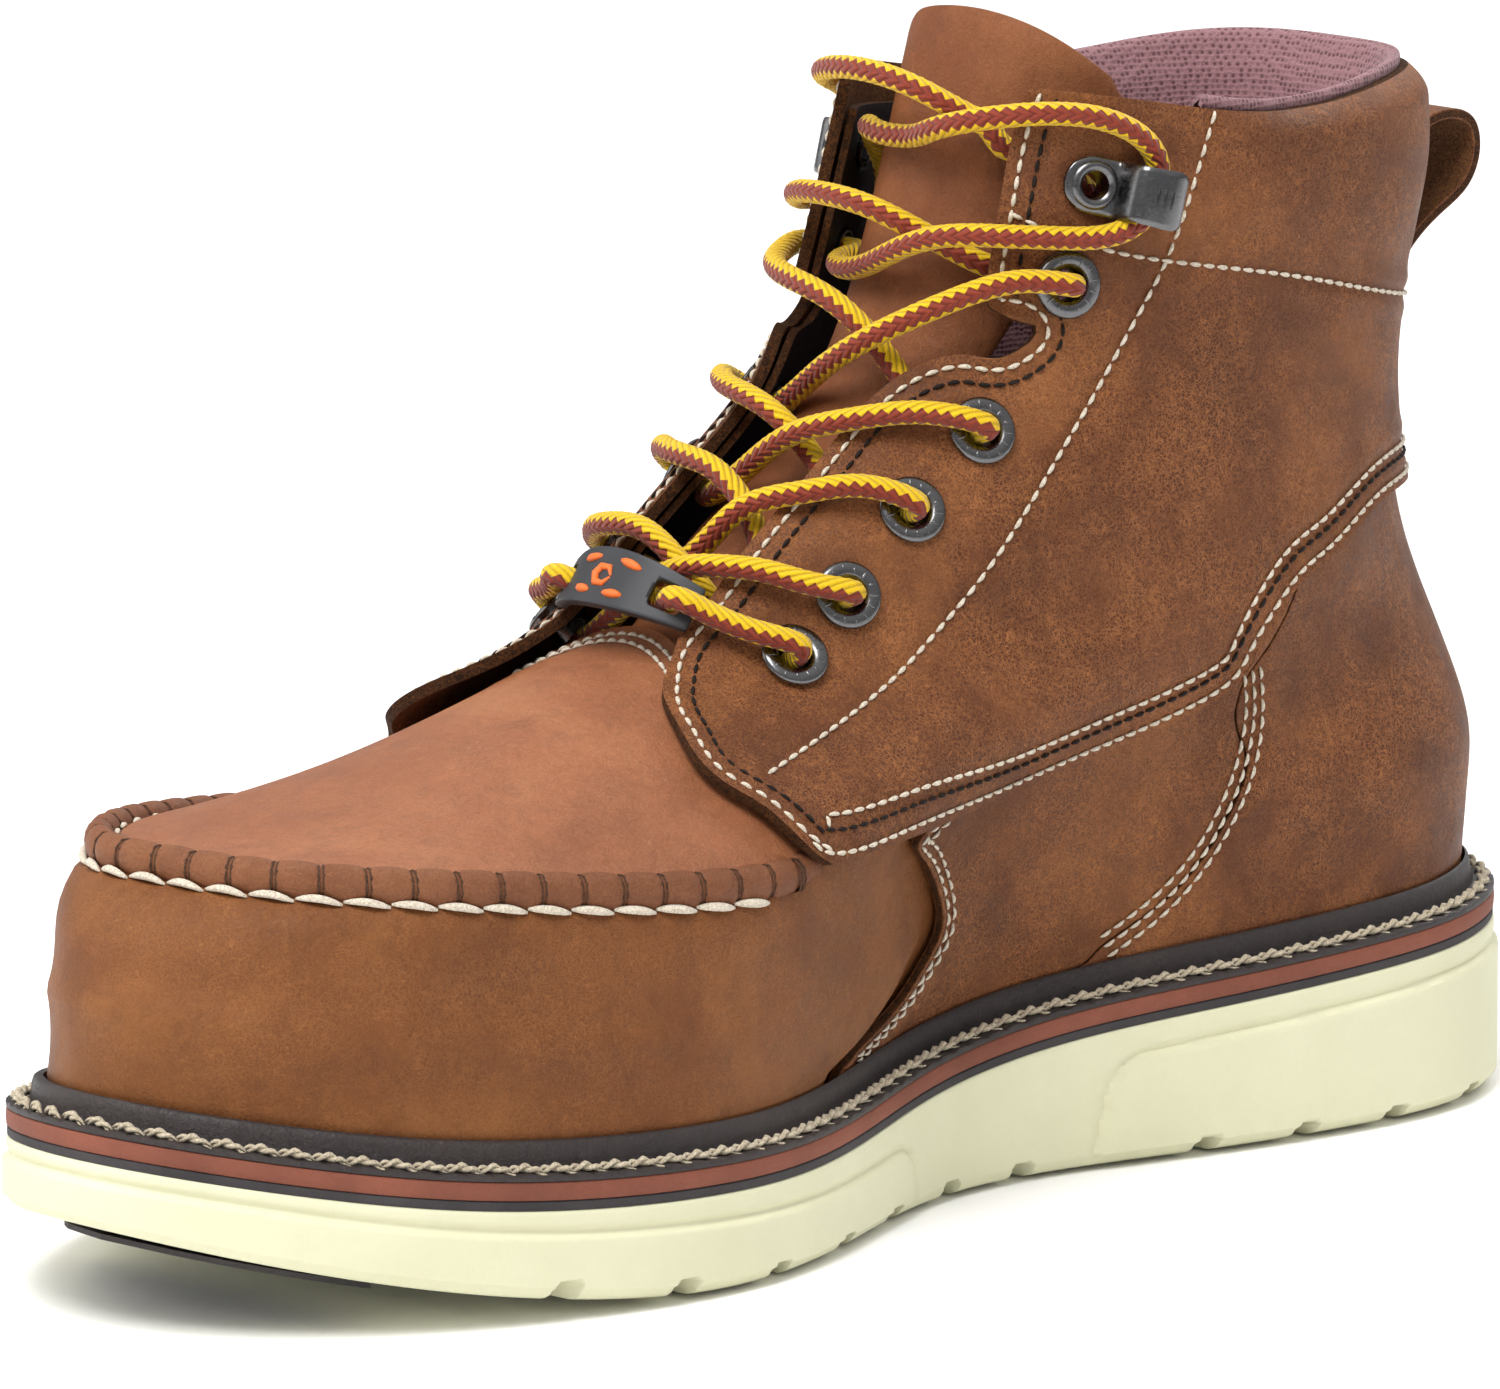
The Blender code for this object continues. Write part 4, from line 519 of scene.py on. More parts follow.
class Look:
    """A Principled material that grows its node tree."""

    def __init__(self, name, rough=0.6, metal=0.0, **sockets):
        self.made = bpy.data.materials.new(name)
        self.made.use_nodes = True
        self.tree = self.made.node_tree
        self.shader = self.tree.nodes["Principled BSDF"]
        for key, value in dict(sockets, Roughness=rough, Metallic=metal).items():
            self.shader.inputs[key.replace("_", " ")].default_value = value
        self.place = self.add("TexCoord").outputs["Object"]

    def add(self, kind, **values):
        """A new node; each value sets one of its properties or one of its sockets."""
        node = self.tree.nodes.new("ShaderNode" + kind)
        for key, value in values.items():
            if hasattr(node, key):
                setattr(node, key, value)
            else:
                self.put(value, node.inputs[key.replace("_", " ")])
        return node

    def put(self, value, socket):
        """Link a node's output to a socket, or set a plain value on it."""
        if isinstance(value, bpy.types.NodeSocket):
            self.tree.links.new(value, socket)
        else:
            socket.default_value = value

    def warped(self, scale, reach):
        """Object coordinates shaken by noise, up to reach metres."""
        shake = self.add("TexNoise", Vector=self.place, Scale=scale, Detail=3.0)
        node = self.add("VectorMath", operation="MULTIPLY_ADD")
        for value, socket in zip((shake.outputs["Color"], (reach, reach, reach), self.place), node.inputs):
            self.put(value, socket)
        return node.outputs["Vector"]

    def noise(self, scale, detail=4.0, rough=0.55, place=None, bend=0.0):
        node = self.add("TexNoise", Vector=place or self.place, Scale=scale, Detail=detail, Roughness=rough,
                        Distortion=bend)
        return node.outputs["Fac"]

    def cells(self, scale, feature="F1", place=None, spread=1.0):
        node = self.add("TexVoronoi", feature=feature, Vector=place or self.place, Scale=scale,
                        Randomness=spread)
        return node.outputs["Distance"]

    def ramp(self, value, stops):
        """A colour ramp over a value; a stop's colour may be a single grey number."""
        node = self.add("ValToRGB", Fac=value)
        line = node.color_ramp
        while len(line.elements) < len(stops):
            line.elements.new(0.5)
        for element, (at, colour) in zip(line.elements, stops):
            element.position = at
            element.color = colour if hasattr(colour, "__len__") else (colour, colour, colour, 1)
        return node.outputs["Color"]

    def mix(self, a, b, share, blend="MIX"):
        node = self.add("Mix", data_type="RGBA", blend_type=blend, Factor=share)
        for value, socket in zip((a, b), [s for s in node.inputs if s.type == "RGBA"]):
            self.put(value, socket)
        return [s for s in node.outputs if s.type == "RGBA"][0]

    def maths(self, kind, a, b=0.0):
        node = self.add("Math", operation=kind)
        self.put(a, node.inputs[0])
        self.put(b, node.inputs[1])
        return node.outputs["Value"]

    def bump(self, height, distance, strength=1.0):
        """Adds a layer of relief over the ones before it; distance in millimetres."""
        node = self.add("Bump", Height=height, Strength=strength, Distance=distance * MM)
        before = self.shader.inputs["Normal"].links
        if before:
            self.put(before[0].from_socket, node.inputs["Normal"])
        self.put(node.outputs["Normal"], self.shader.inputs["Normal"])

    def colour(self, value):
        self.put(value, self.shader.inputs["Base Color"])

    def roughness(self, value):
        self.put(value, self.shader.inputs["Roughness"])


def blend_of(a, b, share):
    return tuple(x + (y - x) * share for x, y in zip(a, b))


def darker(colour, share):
    return tuple(c * share for c in colour[:3]) + (1.0,)


def leather_look(name, dark, middle, light, fuzz=1.0, gloss=0.22):
    """Oiled pull-up leather: cloudy colour, a fine web of paler fibres, dark pores and faint creases."""
    look = Look(name, 0.55, Specular_IOR_Level=gloss)
    cloud = look.noise(24, 5, 0.6, bend=0.4)
    base = look.ramp(cloud, [(0.28, blend_of(middle, dark, 0.45)), (0.5, middle),
                             (0.72, blend_of(middle, light, 0.35))])
    blotch = look.noise(110, 6, 0.75, bend=0.7)
    base = look.mix(base, dark, look.ramp(blotch, [(0.32, 0.35), (0.5, 0.0)]))
    patches = look.ramp(look.noise(70, 4, 0.6), [(0.36, 0.35), (0.58, 1.0)])
    nap = look.ramp(look.noise(2300, 5, 0.8), [(0.36, 1.0), (0.55, 0.0)])
    base = look.mix(base, dark, look.maths("MULTIPLY", nap, 0.15))
    near = look.cells(1500, "DISTANCE_TO_EDGE", place=look.warped(1300, 0.0011))
    mesh = look.ramp(near, [(0.0, 0.55), (0.05, 0.35), (0.14, 0.0)])
    vein = look.ramp(look.noise(420, 5, 0.68, bend=1.1), [(0.472, 0.0), (0.5, 0.95), (0.528, 0.0)])
    web = look.maths("MAXIMUM", mesh, vein)
    base = look.mix(base, light, look.maths("MULTIPLY", look.maths("MULTIPLY", web, patches), 0.9 * fuzz))
    look.colour(base)
    look.roughness(look.ramp(blotch, [(0.3, 0.42), (0.7, 0.62)]))
    look.bump(look.noise(48, 3, 0.5), 0.9, 0.25)
    look.bump(look.noise(300, 6, 0.65, bend=1.6), 0.4, 0.65)
    look.bump(web, 0.07, 0.8)
    look.bump(look.noise(1700, 4, 0.75), 0.12, 0.8)
    return look.made


def raw_edge_look(name, dark, light):
    """The cut side of leather: loose fibres."""
    look = Look(name, 0.85, Specular_IOR_Level=0.2)
    fibre = look.noise(1500, 6, 0.75, bend=1.5)
    look.colour(look.ramp(fibre, [(0.42, dark), (0.68, light)]))
    look.bump(fibre, 0.4, 1.0)
    return look.made


def mesh_look(name, deep, thread):
    """Spacer mesh: rows of small open cells in a soft knit."""
    look = Look(name, 0.9, Sheen_Weight=0.2, Specular_IOR_Level=0.2)
    hole = look.cells(1050, "F1", spread=0.3)
    knit = look.noise(3600, 4, 0.7)
    # painted shade: the middle of each open cell takes the deep colour, for the shade inside the hole
    shade = look.ramp(hole, [(0.12, deep), (0.5, thread)])
    look.colour(look.mix(shade, deep, look.ramp(knit, [(0.4, 0.3), (0.6, 0.0)])))
    look.bump(hole, 0.45, 0.8)
    look.bump(knit, 0.12, 0.6)
    return look.made


def rubber_look(name, dark, light, grain=0.12, scale=900, rough=0.62):
    look = Look(name, rough, Specular_IOR_Level=0.35)
    cloud = look.noise(30, 5, 0.6)
    fleck = look.noise(scale, 6, 0.7)
    look.colour(look.mix(look.ramp(cloud, [(0.3, dark), (0.7, light)]), dark,
                         look.ramp(fleck, [(0.3, 0.35), (0.5, 0.0)])))
    look.bump(fleck, grain, 0.7)
    look.bump(look.noise(90, 3, 0.5), 0.25, 0.3)
    return look.made


def metal_look(name, colour, rough=0.2):
    """Polished plated metal with faint scratches."""
    look = Look(name, rough, 1.0)
    stretched = look.add("Mapping", Scale=(1, 1, 7), Vector=look.place)
    streak = look.noise(260, 5, 0.7, place=stretched.outputs["Vector"])
    look.colour(look.mix(colour, darker(colour, 0.78), look.ramp(streak, [(0.35, 0.0), (0.7, 1.0)])))
    look.roughness(look.ramp(look.noise(1400, 4, 0.7), [(0.3, rough * 0.7), (0.75, rough * 1.6)]))
    look.bump(look.noise(2600, 3, 0.6), 0.02, 0.3)
    return look.made


def thread_look(name, dark, light, sheen=0.2):
    """Twisted sewing thread."""
    look = Look(name, 0.75, Sheen_Weight=sheen, Specular_IOR_Level=0.2)
    ply = look.noise(2600, 4, 0.65)
    look.colour(look.ramp(ply, [(0.35, dark), (0.6, light)]))
    look.bump(ply, 0.12, 0.7)
    return look.made


def lace_look(name, yellow, rust):
    """Round braid: yellow with a rust band whose edges zigzag from strand to strand."""
    look = Look(name, 0.7, Sheen_Weight=0.15, Specular_IOR_Level=0.3)
    flat = look.add("UVMap", uv_map="braid")
    parts = look.add("SeparateXYZ", Vector=flat.outputs["UV"])
    turn = look.maths("FRACT", parts.outputs["X"])
    along = parts.outputs["Y"]
    strands = look.maths("MULTIPLY", along, 1 / BRAID_PITCH)
    zig = look.maths("PINGPONG", strands, 0.5)
    away = look.maths("ABSOLUTE", look.maths("SUBTRACT", turn, 0.5))
    border = look.maths("ADD", away, look.maths("MULTIPLY", zig, 0.17))
    band = look.ramp(border, [(BAND_HALF - 0.004, 1.0), (BAND_HALF + 0.004, 0.0)])
    fibre = look.noise(2600, 4, 0.7)
    gold = look.mix(yellow, darker(yellow, 0.72), look.ramp(fibre, [(0.4, 0.0), (0.7, 0.8)]))
    red = look.mix(rust, darker(rust, 0.6), look.ramp(fibre, [(0.4, 0.0), (0.7, 0.8)]))
    left = look.maths("FRACT", look.maths("ADD", strands, look.maths("MULTIPLY", away, 9.0)))
    ridge = look.maths("SINE", look.maths("MULTIPLY", left, math.pi))
    # painted shade: each strand darkens towards its edges, where the grooves between strands lie
    shade = look.ramp(ridge, [(0.0, 0.72), (0.4, 1.0)])
    look.colour(look.mix(look.mix(gold, red, band), shade, 1.0, "MULTIPLY"))
    look.bump(ridge, 0.35, 1.0)
    look.bump(fibre, 0.1, 0.5)
    return look.made


BRAID_PITCH = 0.0021     # metres of lace for one strand of the braid
BAND_HALF = 0.15          # the rust band's half width as a share of the way round

LOOKS = {
    "upper": leather_look("oiled_leather", srgb(48, 24, 11), srgb(92, 50, 26), srgb(180, 116, 66)),
    # painted top light: the apron's leather is the vamp's tan made lighter and glossier, standing for the
    # light on the toe's upward face
    "apron": leather_look("apron_leather", srgb(100, 54, 30), srgb(148, 88, 54), srgb(194, 134, 90), 0.5,
                          0.4),
    "vamp": leather_look("vamp_leather", srgb(72, 38, 17), srgb(116, 68, 34), srgb(176, 116, 64), 0.6),
    "roll": leather_look("roll_leather", srgb(82, 46, 28), srgb(122, 74, 47), srgb(166, 112, 76), 0.5),
    "tongue": leather_look("tongue_leather", srgb(84, 44, 24), srgb(120, 68, 38), srgb(166, 108, 66), 0.5),
    "raw": raw_edge_look("raw_edge", srgb(32, 18, 9), srgb(112, 68, 30)),
    "suede": raw_edge_look("suede_side", srgb(74, 46, 26), srgb(148, 100, 58)),
    "facing": leather_look("facing_leather", srgb(8, 8, 8), srgb(16, 14, 14), srgb(34, 31, 30), 0.1),
    "mesh": mesh_look("spacer_mesh", srgb(88, 54, 58), srgb(158, 118, 122)),
    "sock": mesh_look("footbed_cover", srgb(26, 24, 25), srgb(64, 60, 60)),
    "cream": rubber_look("cream_rubber", srgb(214, 212, 178), srgb(224, 222, 190), 0.1, 1300, 0.55),
    "brick": rubber_look("brick_rubber", srgb(112, 62, 46), srgb(146, 84, 64), 0.3, 1700, 0.7),
    "slate": rubber_look("slate_rubber", srgb(44, 41, 43), srgb(72, 67, 68), 0.25, 1500, 0.75),
    "black_rubber": rubber_look("tag_rubber_skin", srgb(36, 37, 40), srgb(50, 51, 55), 0.04, 2600, 0.45),
    "orange": rubber_look("orange_marks", srgb(214, 96, 34), srgb(236, 118, 50), 0.05, 2600, 0.5),
    "welt": leather_look("welt_leather_skin", srgb(20, 14, 13), srgb(36, 26, 24), srgb(66, 50, 46), 0.15,
                         0.6),
    "gunmetal": metal_look("gunmetal_plate", srgb(112, 111, 112), 0.22),
    "dark_metal": metal_look("dark_relief", srgb(74, 73, 73), 0.3),
    "white_thread": thread_look("white_thread", srgb(176, 162, 140), srgb(222, 212, 194)),
    "black_thread": thread_look("black_thread", srgb(14, 10, 8), srgb(38, 29, 24), 0.0),
    "tan_thread": thread_look("tan_thread", srgb(150, 136, 112), srgb(200, 188, 164)),
    # painted shade: the dark colour of the loops that stand for the shade inside the pleats' slits
    "slit": thread_look("pleat_slit_shade", srgb(44, 28, 19), srgb(90, 60, 42), 0.0),
    "lace": lace_look("braided_lace", srgb(234, 190, 6), srgb(140, 52, 30)),
    "film": rubber_look("aglet_film", srgb(170, 150, 110), srgb(205, 190, 150), 0.03, 2000, 0.25),
    "cork": rubber_look("cork_grain", srgb(120, 84, 52), srgb(172, 128, 84), 0.5, 500, 0.9),
    "board": rubber_look("fibre_board", srgb(120, 92, 64), srgb(160, 128, 94), 0.2, 900, 0.9),
    "cap": metal_look("coated_steel", srgb(96, 100, 104), 0.4),
}


# ---- meshes ----------------------------------------------------------------------------------------
def build(name, verts, faces, looks, marks=None, angle=42, bevel=0.0):
    """A closed mesh from points in millimetres, its faces turned outwards, with a look for each face mark."""
    mesh = bpy.data.meshes.new(name)
    mesh.from_pydata((np.asarray(verts, float) * MM).tolist(), [], faces)
    for look in looks:
        mesh.materials.append(LOOKS[look])
    if marks is not None:
        mesh.polygons.foreach_set("material_index", np.asarray(marks, np.int32))
    work = bmesh.new()
    work.from_mesh(mesh)
    bmesh.ops.recalc_face_normals(work, faces=work.faces)
    if work.calc_volume(signed=True) < 0:
        bmesh.ops.reverse_faces(work, faces=work.faces)
    if bevel:
        sharp = [e for e in work.edges if len(e.link_faces) == 2 and e.calc_face_angle(0) > math.radians(50)]
        bmesh.ops.bevel(work, geom=sharp, offset=bevel * MM, segments=2, profile=0.6, affect="EDGES",
                        clamp_overlap=True)
    work.to_mesh(mesh)
    work.free()
    mesh.shade_smooth()
    mesh.set_sharp_from_angle(angle=math.radians(angle))
    thing = bpy.data.objects.new(name, mesh)
    bpy.context.collection.objects.link(thing)
    return thing


def settle(thing, slot, *nodes, body="boot"):
    """Ride on a body and stand for CAD nodes, hiding them; the slot is not used."""
    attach(thing, body)
    if nodes:
        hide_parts(*nodes)
    return thing


def shell_parts(outer, inner):
    """Verts, faces and marks of a thick sheet between two grids: 0 outside, 1 rim, 2 inside."""
    rows, cols = outer.shape[:2]
    count = rows * cols
    index = np.arange(count).reshape(rows, cols)
    faces = grid_faces(rows, cols)
    marks = [0] * len(faces) + [2] * len(faces)
    faces += [tuple(count + k for k in reversed(face)) for face in faces]
    rim = np.r_[index[0], index[1:, -1], index[-1, -2::-1], index[-2:0:-1, 0]].tolist()
    faces += [(a, count + a, count + b, b) for a, b in zip(rim, rim[1:] + rim[:1])]
    return np.vstack([outer.reshape(-1, 3), inner.reshape(-1, 3)]), faces, marks + [1] * len(rim)


def grid_normals(grid):
    """Unit normals of a grid of points, the same way round as rows then columns."""
    return unit(np.cross(np.gradient(grid, axis=1), np.gradient(grid, axis=0)))


def sweep_parts(rings, closed=False):
    """Verts and faces of a tube through rings, with its ends capped or joined to each other."""
    count, sides = rings.shape[:2]
    faces = grid_faces(count, sides, wrap=True)
    last = (count - 1) * sides
    if closed:
        faces += [(last + j, last + (j + 1) % sides, (j + 1) % sides, j) for j in range(sides)]
    else:
        faces += [tuple(range(sides)), tuple(range(last, last + sides))]
    return rings.reshape(-1, 3), faces


def sweep(name, rings, looks, closed=False, **how):
    verts, faces = sweep_parts(np.asarray(rings, float), closed)
    return build(name, verts, faces, looks, **how)


def joined(parts):
    """The verts and faces of several bodies as those of one."""
    verts = []
    faces = []
    for some, others in parts:
        faces += [tuple(k + len(verts) for k in face) for face in others]
        verts += np.asarray(some).tolist()
    return verts, faces


def sheet(name, outer, inner, looks, bevel=0.3):
    """A thick sheet between two grids, with looks for its outside, rim and inside."""
    verts, faces, marks = shell_parts(outer, inner)
    return build(name, verts, faces, looks, marks, bevel=bevel)


def drill(thing, tool):
    """Cut the tool out of a piece for good, and drop the tool."""
    modifier = thing.modifiers.new("cut", "BOOLEAN")
    modifier.operation = "DIFFERENCE"
    modifier.solver = "MANIFOLD"
    modifier.object = tool
    graph = bpy.context.evaluated_depsgraph_get()
    made = bpy.data.meshes.new_from_object(thing.evaluated_get(graph))
    thing.modifiers.clear()
    old = thing.data
    thing.data = made
    bpy.data.meshes.remove(old)
    bpy.data.objects.remove(tool)
    return thing


SMALL_A = 0.25
SMALL_U = 0.075
THREAD_SIDES = 6
THREAD_FLAT = 0.85       # a thread's height as a share of its width
PLY_THICK = 0.62         # each ply of a twisted thread, as a share of the thread
PLY_OFFSET = 0.48


# ---- seams -------------------------------------------------------------------------------------------
def along_surface(line, depth, offset=0.0, count=400):
    """Points and normals of a line of (station, row) points, moved sideways over the surface by offset."""
    around, up = edge(line, count).T
    if offset:
        here = surface(around, up)
        step_a = (surface(around + SMALL_A, up) - here) / SMALL_A
        step_u = (surface(around, up + SMALL_U) - here) / SMALL_U
        side = np.cross(unit(np.cross(step_a, step_u)), unit(np.gradient(here, axis=0))) * offset
        aa = (step_a * step_a).sum(1)
        uu = (step_u * step_u).sum(1)
        au = (step_a * step_u).sum(1)
        sa = (side * step_a).sum(1)
        su = (side * step_u).sum(1)
        scale = aa * uu - au * au
        around = around + (sa * uu - su * au) / scale
        up = up + (su * aa - sa * au) / scale
    return surface(around, up, depth), normal_at(around, up)


def stitches(points, normals, pitch, length, radius, lift=0.35, twist=False, lean=0.0):
    """Verts and faces of threads lying along a line, each one diving into the leather at both ends."""
    reach = reach_of(points)
    number = max(int(reach[-1] / pitch), 1)
    pitch = reach[-1] / number
    length = min(length, pitch * 1.25)
    share = np.linspace(0, 1, 13 if twist else 7)
    size = radius * np.sqrt(np.sin(np.pi * (0.04 + 0.92 * share))) * (PLY_THICK if twist else 1)
    rise = radius * (2 * lift * np.sin(np.pi * share) - 0.25)
    spin = share * length / (radius * 5.0) * 2 * np.pi
    turn = np.arange(THREAD_SIDES) * 2 * np.pi / THREAD_SIDES
    threads = []
    for i in range(number):
        at = (i + 0.5) * pitch + (share - 0.5) * length
        out = unit(read_at(normals, reach, at))
        side = unit(np.cross(read_at(points, reach, at + 0.2) - read_at(points, reach, at - 0.2), out))
        middle = read_at(points, reach, at) + out * rise[:, None] + side * (lean * (share - 0.5))[:, None]
        for ply in (PLY_OFFSET * radius, -PLY_OFFSET * radius) if twist else (0,):
            centre = middle + ply * (side * np.cos(spin)[:, None] + out * np.sin(spin)[:, None])
            across = side[:, None] * np.outer(size, np.cos(turn))[..., None]
            above = out[:, None] * np.outer(THREAD_FLAT * size, np.sin(turn))[..., None]
            threads.append(sweep_parts(centre[:, None] + across + above))
    return joined(threads)


SEAMS = {}


def sew(name, lines, look, slot, pitch=2.8, length=2.25, radius=0.4, dent=None, **how):
    """One piece of thread for several lines of (points, normals); the leather it lies on dips along it."""
    if dent:
        SEAMS.setdefault(dent, []).extend(points for points, _ in lines)
    threads = [stitches(points, normals, pitch, length, radius, **how) for points, normals in lines]
    return settle(build(name, *joined(threads), [look], angle=80), slot)


def dented(grid, normals, groups, depth=0.32, width=1.25):
    """Sink a grid of points along the seams sewn into it."""
    lines = [points for group in groups for points in SEAMS.get(group, [])]
    if not lines:
        return grid
    spots = np.vstack(lines)
    tree = KDTree(len(spots))
    for i, spot in enumerate(spots):
        tree.insert(Vector(spot), i)
    tree.balance()
    far = np.array([tree.find(Vector(p))[2] for p in grid.reshape(-1, 3)]).reshape(grid.shape[:2])
    puff = 0.22 * np.exp(-((far - 2.6) / 1.3) ** 2)
    return grid + normals * (puff - depth * np.exp(-(far / width) ** 2))[..., None]


def panel(name, cells, outer, inner, looks, slot, *nodes, groups=(), swell=0.0):
    """A leather panel on the upper's surface, with raw edges and a suede inside."""
    around = cells[..., 0]
    up = cells[..., 1]
    normal = normal_at(around, up)
    top = dented(surface(around, up, outer), normal, groups) + normal * np.asarray(swell)[..., None]
    return settle(sheet(name, top, surface(around, up, inner), looks), slot, *nodes)


OVER = LAYER_GAP + LEATHER    # depth of the quarters' outer face
LEATHER_FACES = ["upper", "raw", "suede"]
LONG_STITCH = [(37.2, 7), (37.8, 6.43), (38.5, 5.93), (40, 5.4), (41, 4.73), (41.8, 4.05), (43.5, 3.3),
               (43, 2.9), (43, 2.68), (43.1, 2.57)]
BAND_STITCH = [(50.5, 6.25), (46.5, 6.1), (38.2, 5.9), (28.2, 5.72), (10.2, 5.38), (0.6, 5.3)]
TRIPLE_STITCH = [(19.8, 2.75), (17.6, 2.35), (17, 2.05), (17.3, 1.55), (18.5, .98), (20.2, .43), (21.6, .14)]
SIDE_STITCH = [(30.8, 2.4), (30.8, 2.1), (28.8, 1.8), (27.7, 1.4), (28, 1.05), (28.8, .8), (30, .43),
               (32.0, .14)]


def surface_rows(line, depth, offsets, count=400):
    """Parallel rows beside a line, the same way round on both sides of the boot."""
    return [along_surface(points, depth, offset * turn, count)
            for points, turn in ((line, 1), (mirrored(line), -1)) for offset in offsets]


def sew_upper():
    """Every visible line of stitching on the upper's leather."""
    whole_edge = LOWER_EDGE[:-1] + FRONT_EDGE[:-1] + EYESTAY_EDGE
    lower = [(0.6, 3.99)] + LOWER_EDGE[1:-1] + FRONT_EDGE[:2]
    front = FRONT_EDGE + EYESTAY_EDGE[1:]
    white = surface_rows(lower, OVER, (1.6, 6.5)) + surface_rows(front, OVER, (2.0,))
    sew("edge_stitching", white, "white_thread", "upper_leather", dent="quarter")
    black = surface_rows(whole_edge, OVER, (4.6,), 700)
    sew("dark_edge_stitching", black, "black_thread", "upper_leather", pitch=2.6, length=2.1,
        radius=0.36, dent="quarter", lift=0.2)
    bands = surface_rows(LONG_STITCH, OVER, (0,)) + surface_rows(BAND_STITCH, OVER, (0,))
    sew("eyestay_stitching", bands, "white_thread", "upper_leather", dent="quarter")
    triple = surface_rows(TRIPLE_STITCH, 0, (-2.0, 0, 2.0))
    sew("side_triple_stitching", triple, "white_thread", "upper_leather", radius=0.36,
        dent="side")
    sew("side_front_stitching", surface_rows(SIDE_STITCH, 0, (-1.2, -2.9)), "white_thread", "upper_leather",
        dent="side", radius=0.34)


# ---- upper ---------------------------------------------------------------------------------------------
BACK_SEAM = 0.02         # station where the quarters meet at the back
FACING_START = 40.0      # station where the facing behind the eyelets begins
FACING_THICK = 1.3
EYELET_ROD = 3.6         # radius of the holes for the eyelets
HOOK_ROD = 3.4
SIDES = ("medial", "lateral")
UP = np.array([0, 0, 1.0])


def make_quarters():
    bottom = np.vstack([edge([(BACK_SEAM, 4.0)] + LOWER_EDGE[1:], 84), edge(FRONT_EDGE, 34)[1:]])
    right = edge(EYESTAY_EDGE, 90)
    around = np.r_[np.linspace(BACK_SEAM, 34, 84), np.linspace(34, EYESTAY_EDGE[-1][0], 34)[1:]]
    top = np.stack([around, np.full(len(around), 7.0)], 1)
    left = np.stack([np.full(len(right), BACK_SEAM), np.linspace(4.0, 7.0, len(right))], 1)
    cells = coons(bottom, right, top, left)
    rows = edge(EYESTAY_EDGE[1:-1], 60)
    share = np.linspace(0, 1, 14)[None, :]
    width = rows[:, :1] - 0.3 - FACING_START
    inside = np.stack([FACING_START + width * share, np.repeat(rows[:, 1:], 14, 1)], 2)
    tuck = collar_tuck(cells[..., 0], cells[..., 1])
    for side in SIDES:
        leather = panel("quarter_leather_" + side, on_side(side, cells), OVER - tuck, LAYER_GAP - tuck,
                        LEATHER_FACES, "upper_leather", "quarter_" + side, groups=("quarter",),
                        swell=collar_swell(cells))
        facing = panel("facing_strip_" + side, on_side(side, inside), 0.0, -FACING_THICK, ["facing"] * 3,
                       "facing_lining", "facing_lining_" + side)
        for thing in (leather, facing):
            drill(thing, hole_rods(side, EYELET_ROD, HOOK_ROD))


def collar_swell(cells):
    """How far the collar's padding pushes the leather out, over (station, row) cells."""
    up = cells[..., 1]
    around = cells[..., 0]
    band = np.exp(-((up - 6.35) / 0.42) ** 2)
    back = ((40 - around) / 8).clip(0, 1)
    return (0.9 * band - 0.25 * np.exp(-((up - 5.6) / 0.12) ** 2)) * back


COLLAR_TUCK = 3.4        # how far the leather's top edge curls in over the padding


def collar_tuck(around, up):
    back = np.clip((38 - np.abs(around)) / 10, 0, 1)
    return COLLAR_TUCK * back * np.clip((up - 6.76) / 0.24, 0, 1) ** 2


def hole_rods(side, radius, hook_radius):
    rods = []
    for spot in EYELETS + [HOOK]:
        around, up = on_side(side, spot)
        across, rise = frame_at(around, up)[1:]
        size = hook_radius if spot == HOOK else radius
        rods.append(sweep_parts(np.array([ring_of_points(surface(around, up, depth), across, rise, size, 24)
                                          for depth in (-4, 6)])))
    return build("hole_rods_" + side, *joined(rods), ["raw"])


def make_side_panels():
    low = edge([SIDE_BACK[0], SIDE_FRONT[0]], 34)
    cells = coons(low, edge(SIDE_FRONT, 56), edge(SIDE_TOP, 34), edge(SIDE_BACK, 56))
    for side in SIDES:
        panel("side_leather_" + side, on_side(side, cells), 0.0, -LEATHER, LEATHER_FACES, "upper_leather",
              "side_panel_" + side, groups=("side",))


def make_heel_panel():
    right = edge([(around - 0.12, up) for around, up in SIDE_BACK], 60)
    left = right * (-1, 1)
    low = edge([left[0], right[0]], 90)
    top = edge([left[-1], (-14, 4.25), (-8, 4.32), (0, 4.35), (8, 4.32), (14, 4.25), right[-1]], 90)
    panel("heel_leather", coons(low, right, top, left), 0.0, -LEATHER, LEATHER_FACES, "upper_leather",
          "heel_panel", groups=("side",))


VAMP_STEP = 36.2
VAMP_LAP = 2.4           # stations that the vamp runs on under the side panels


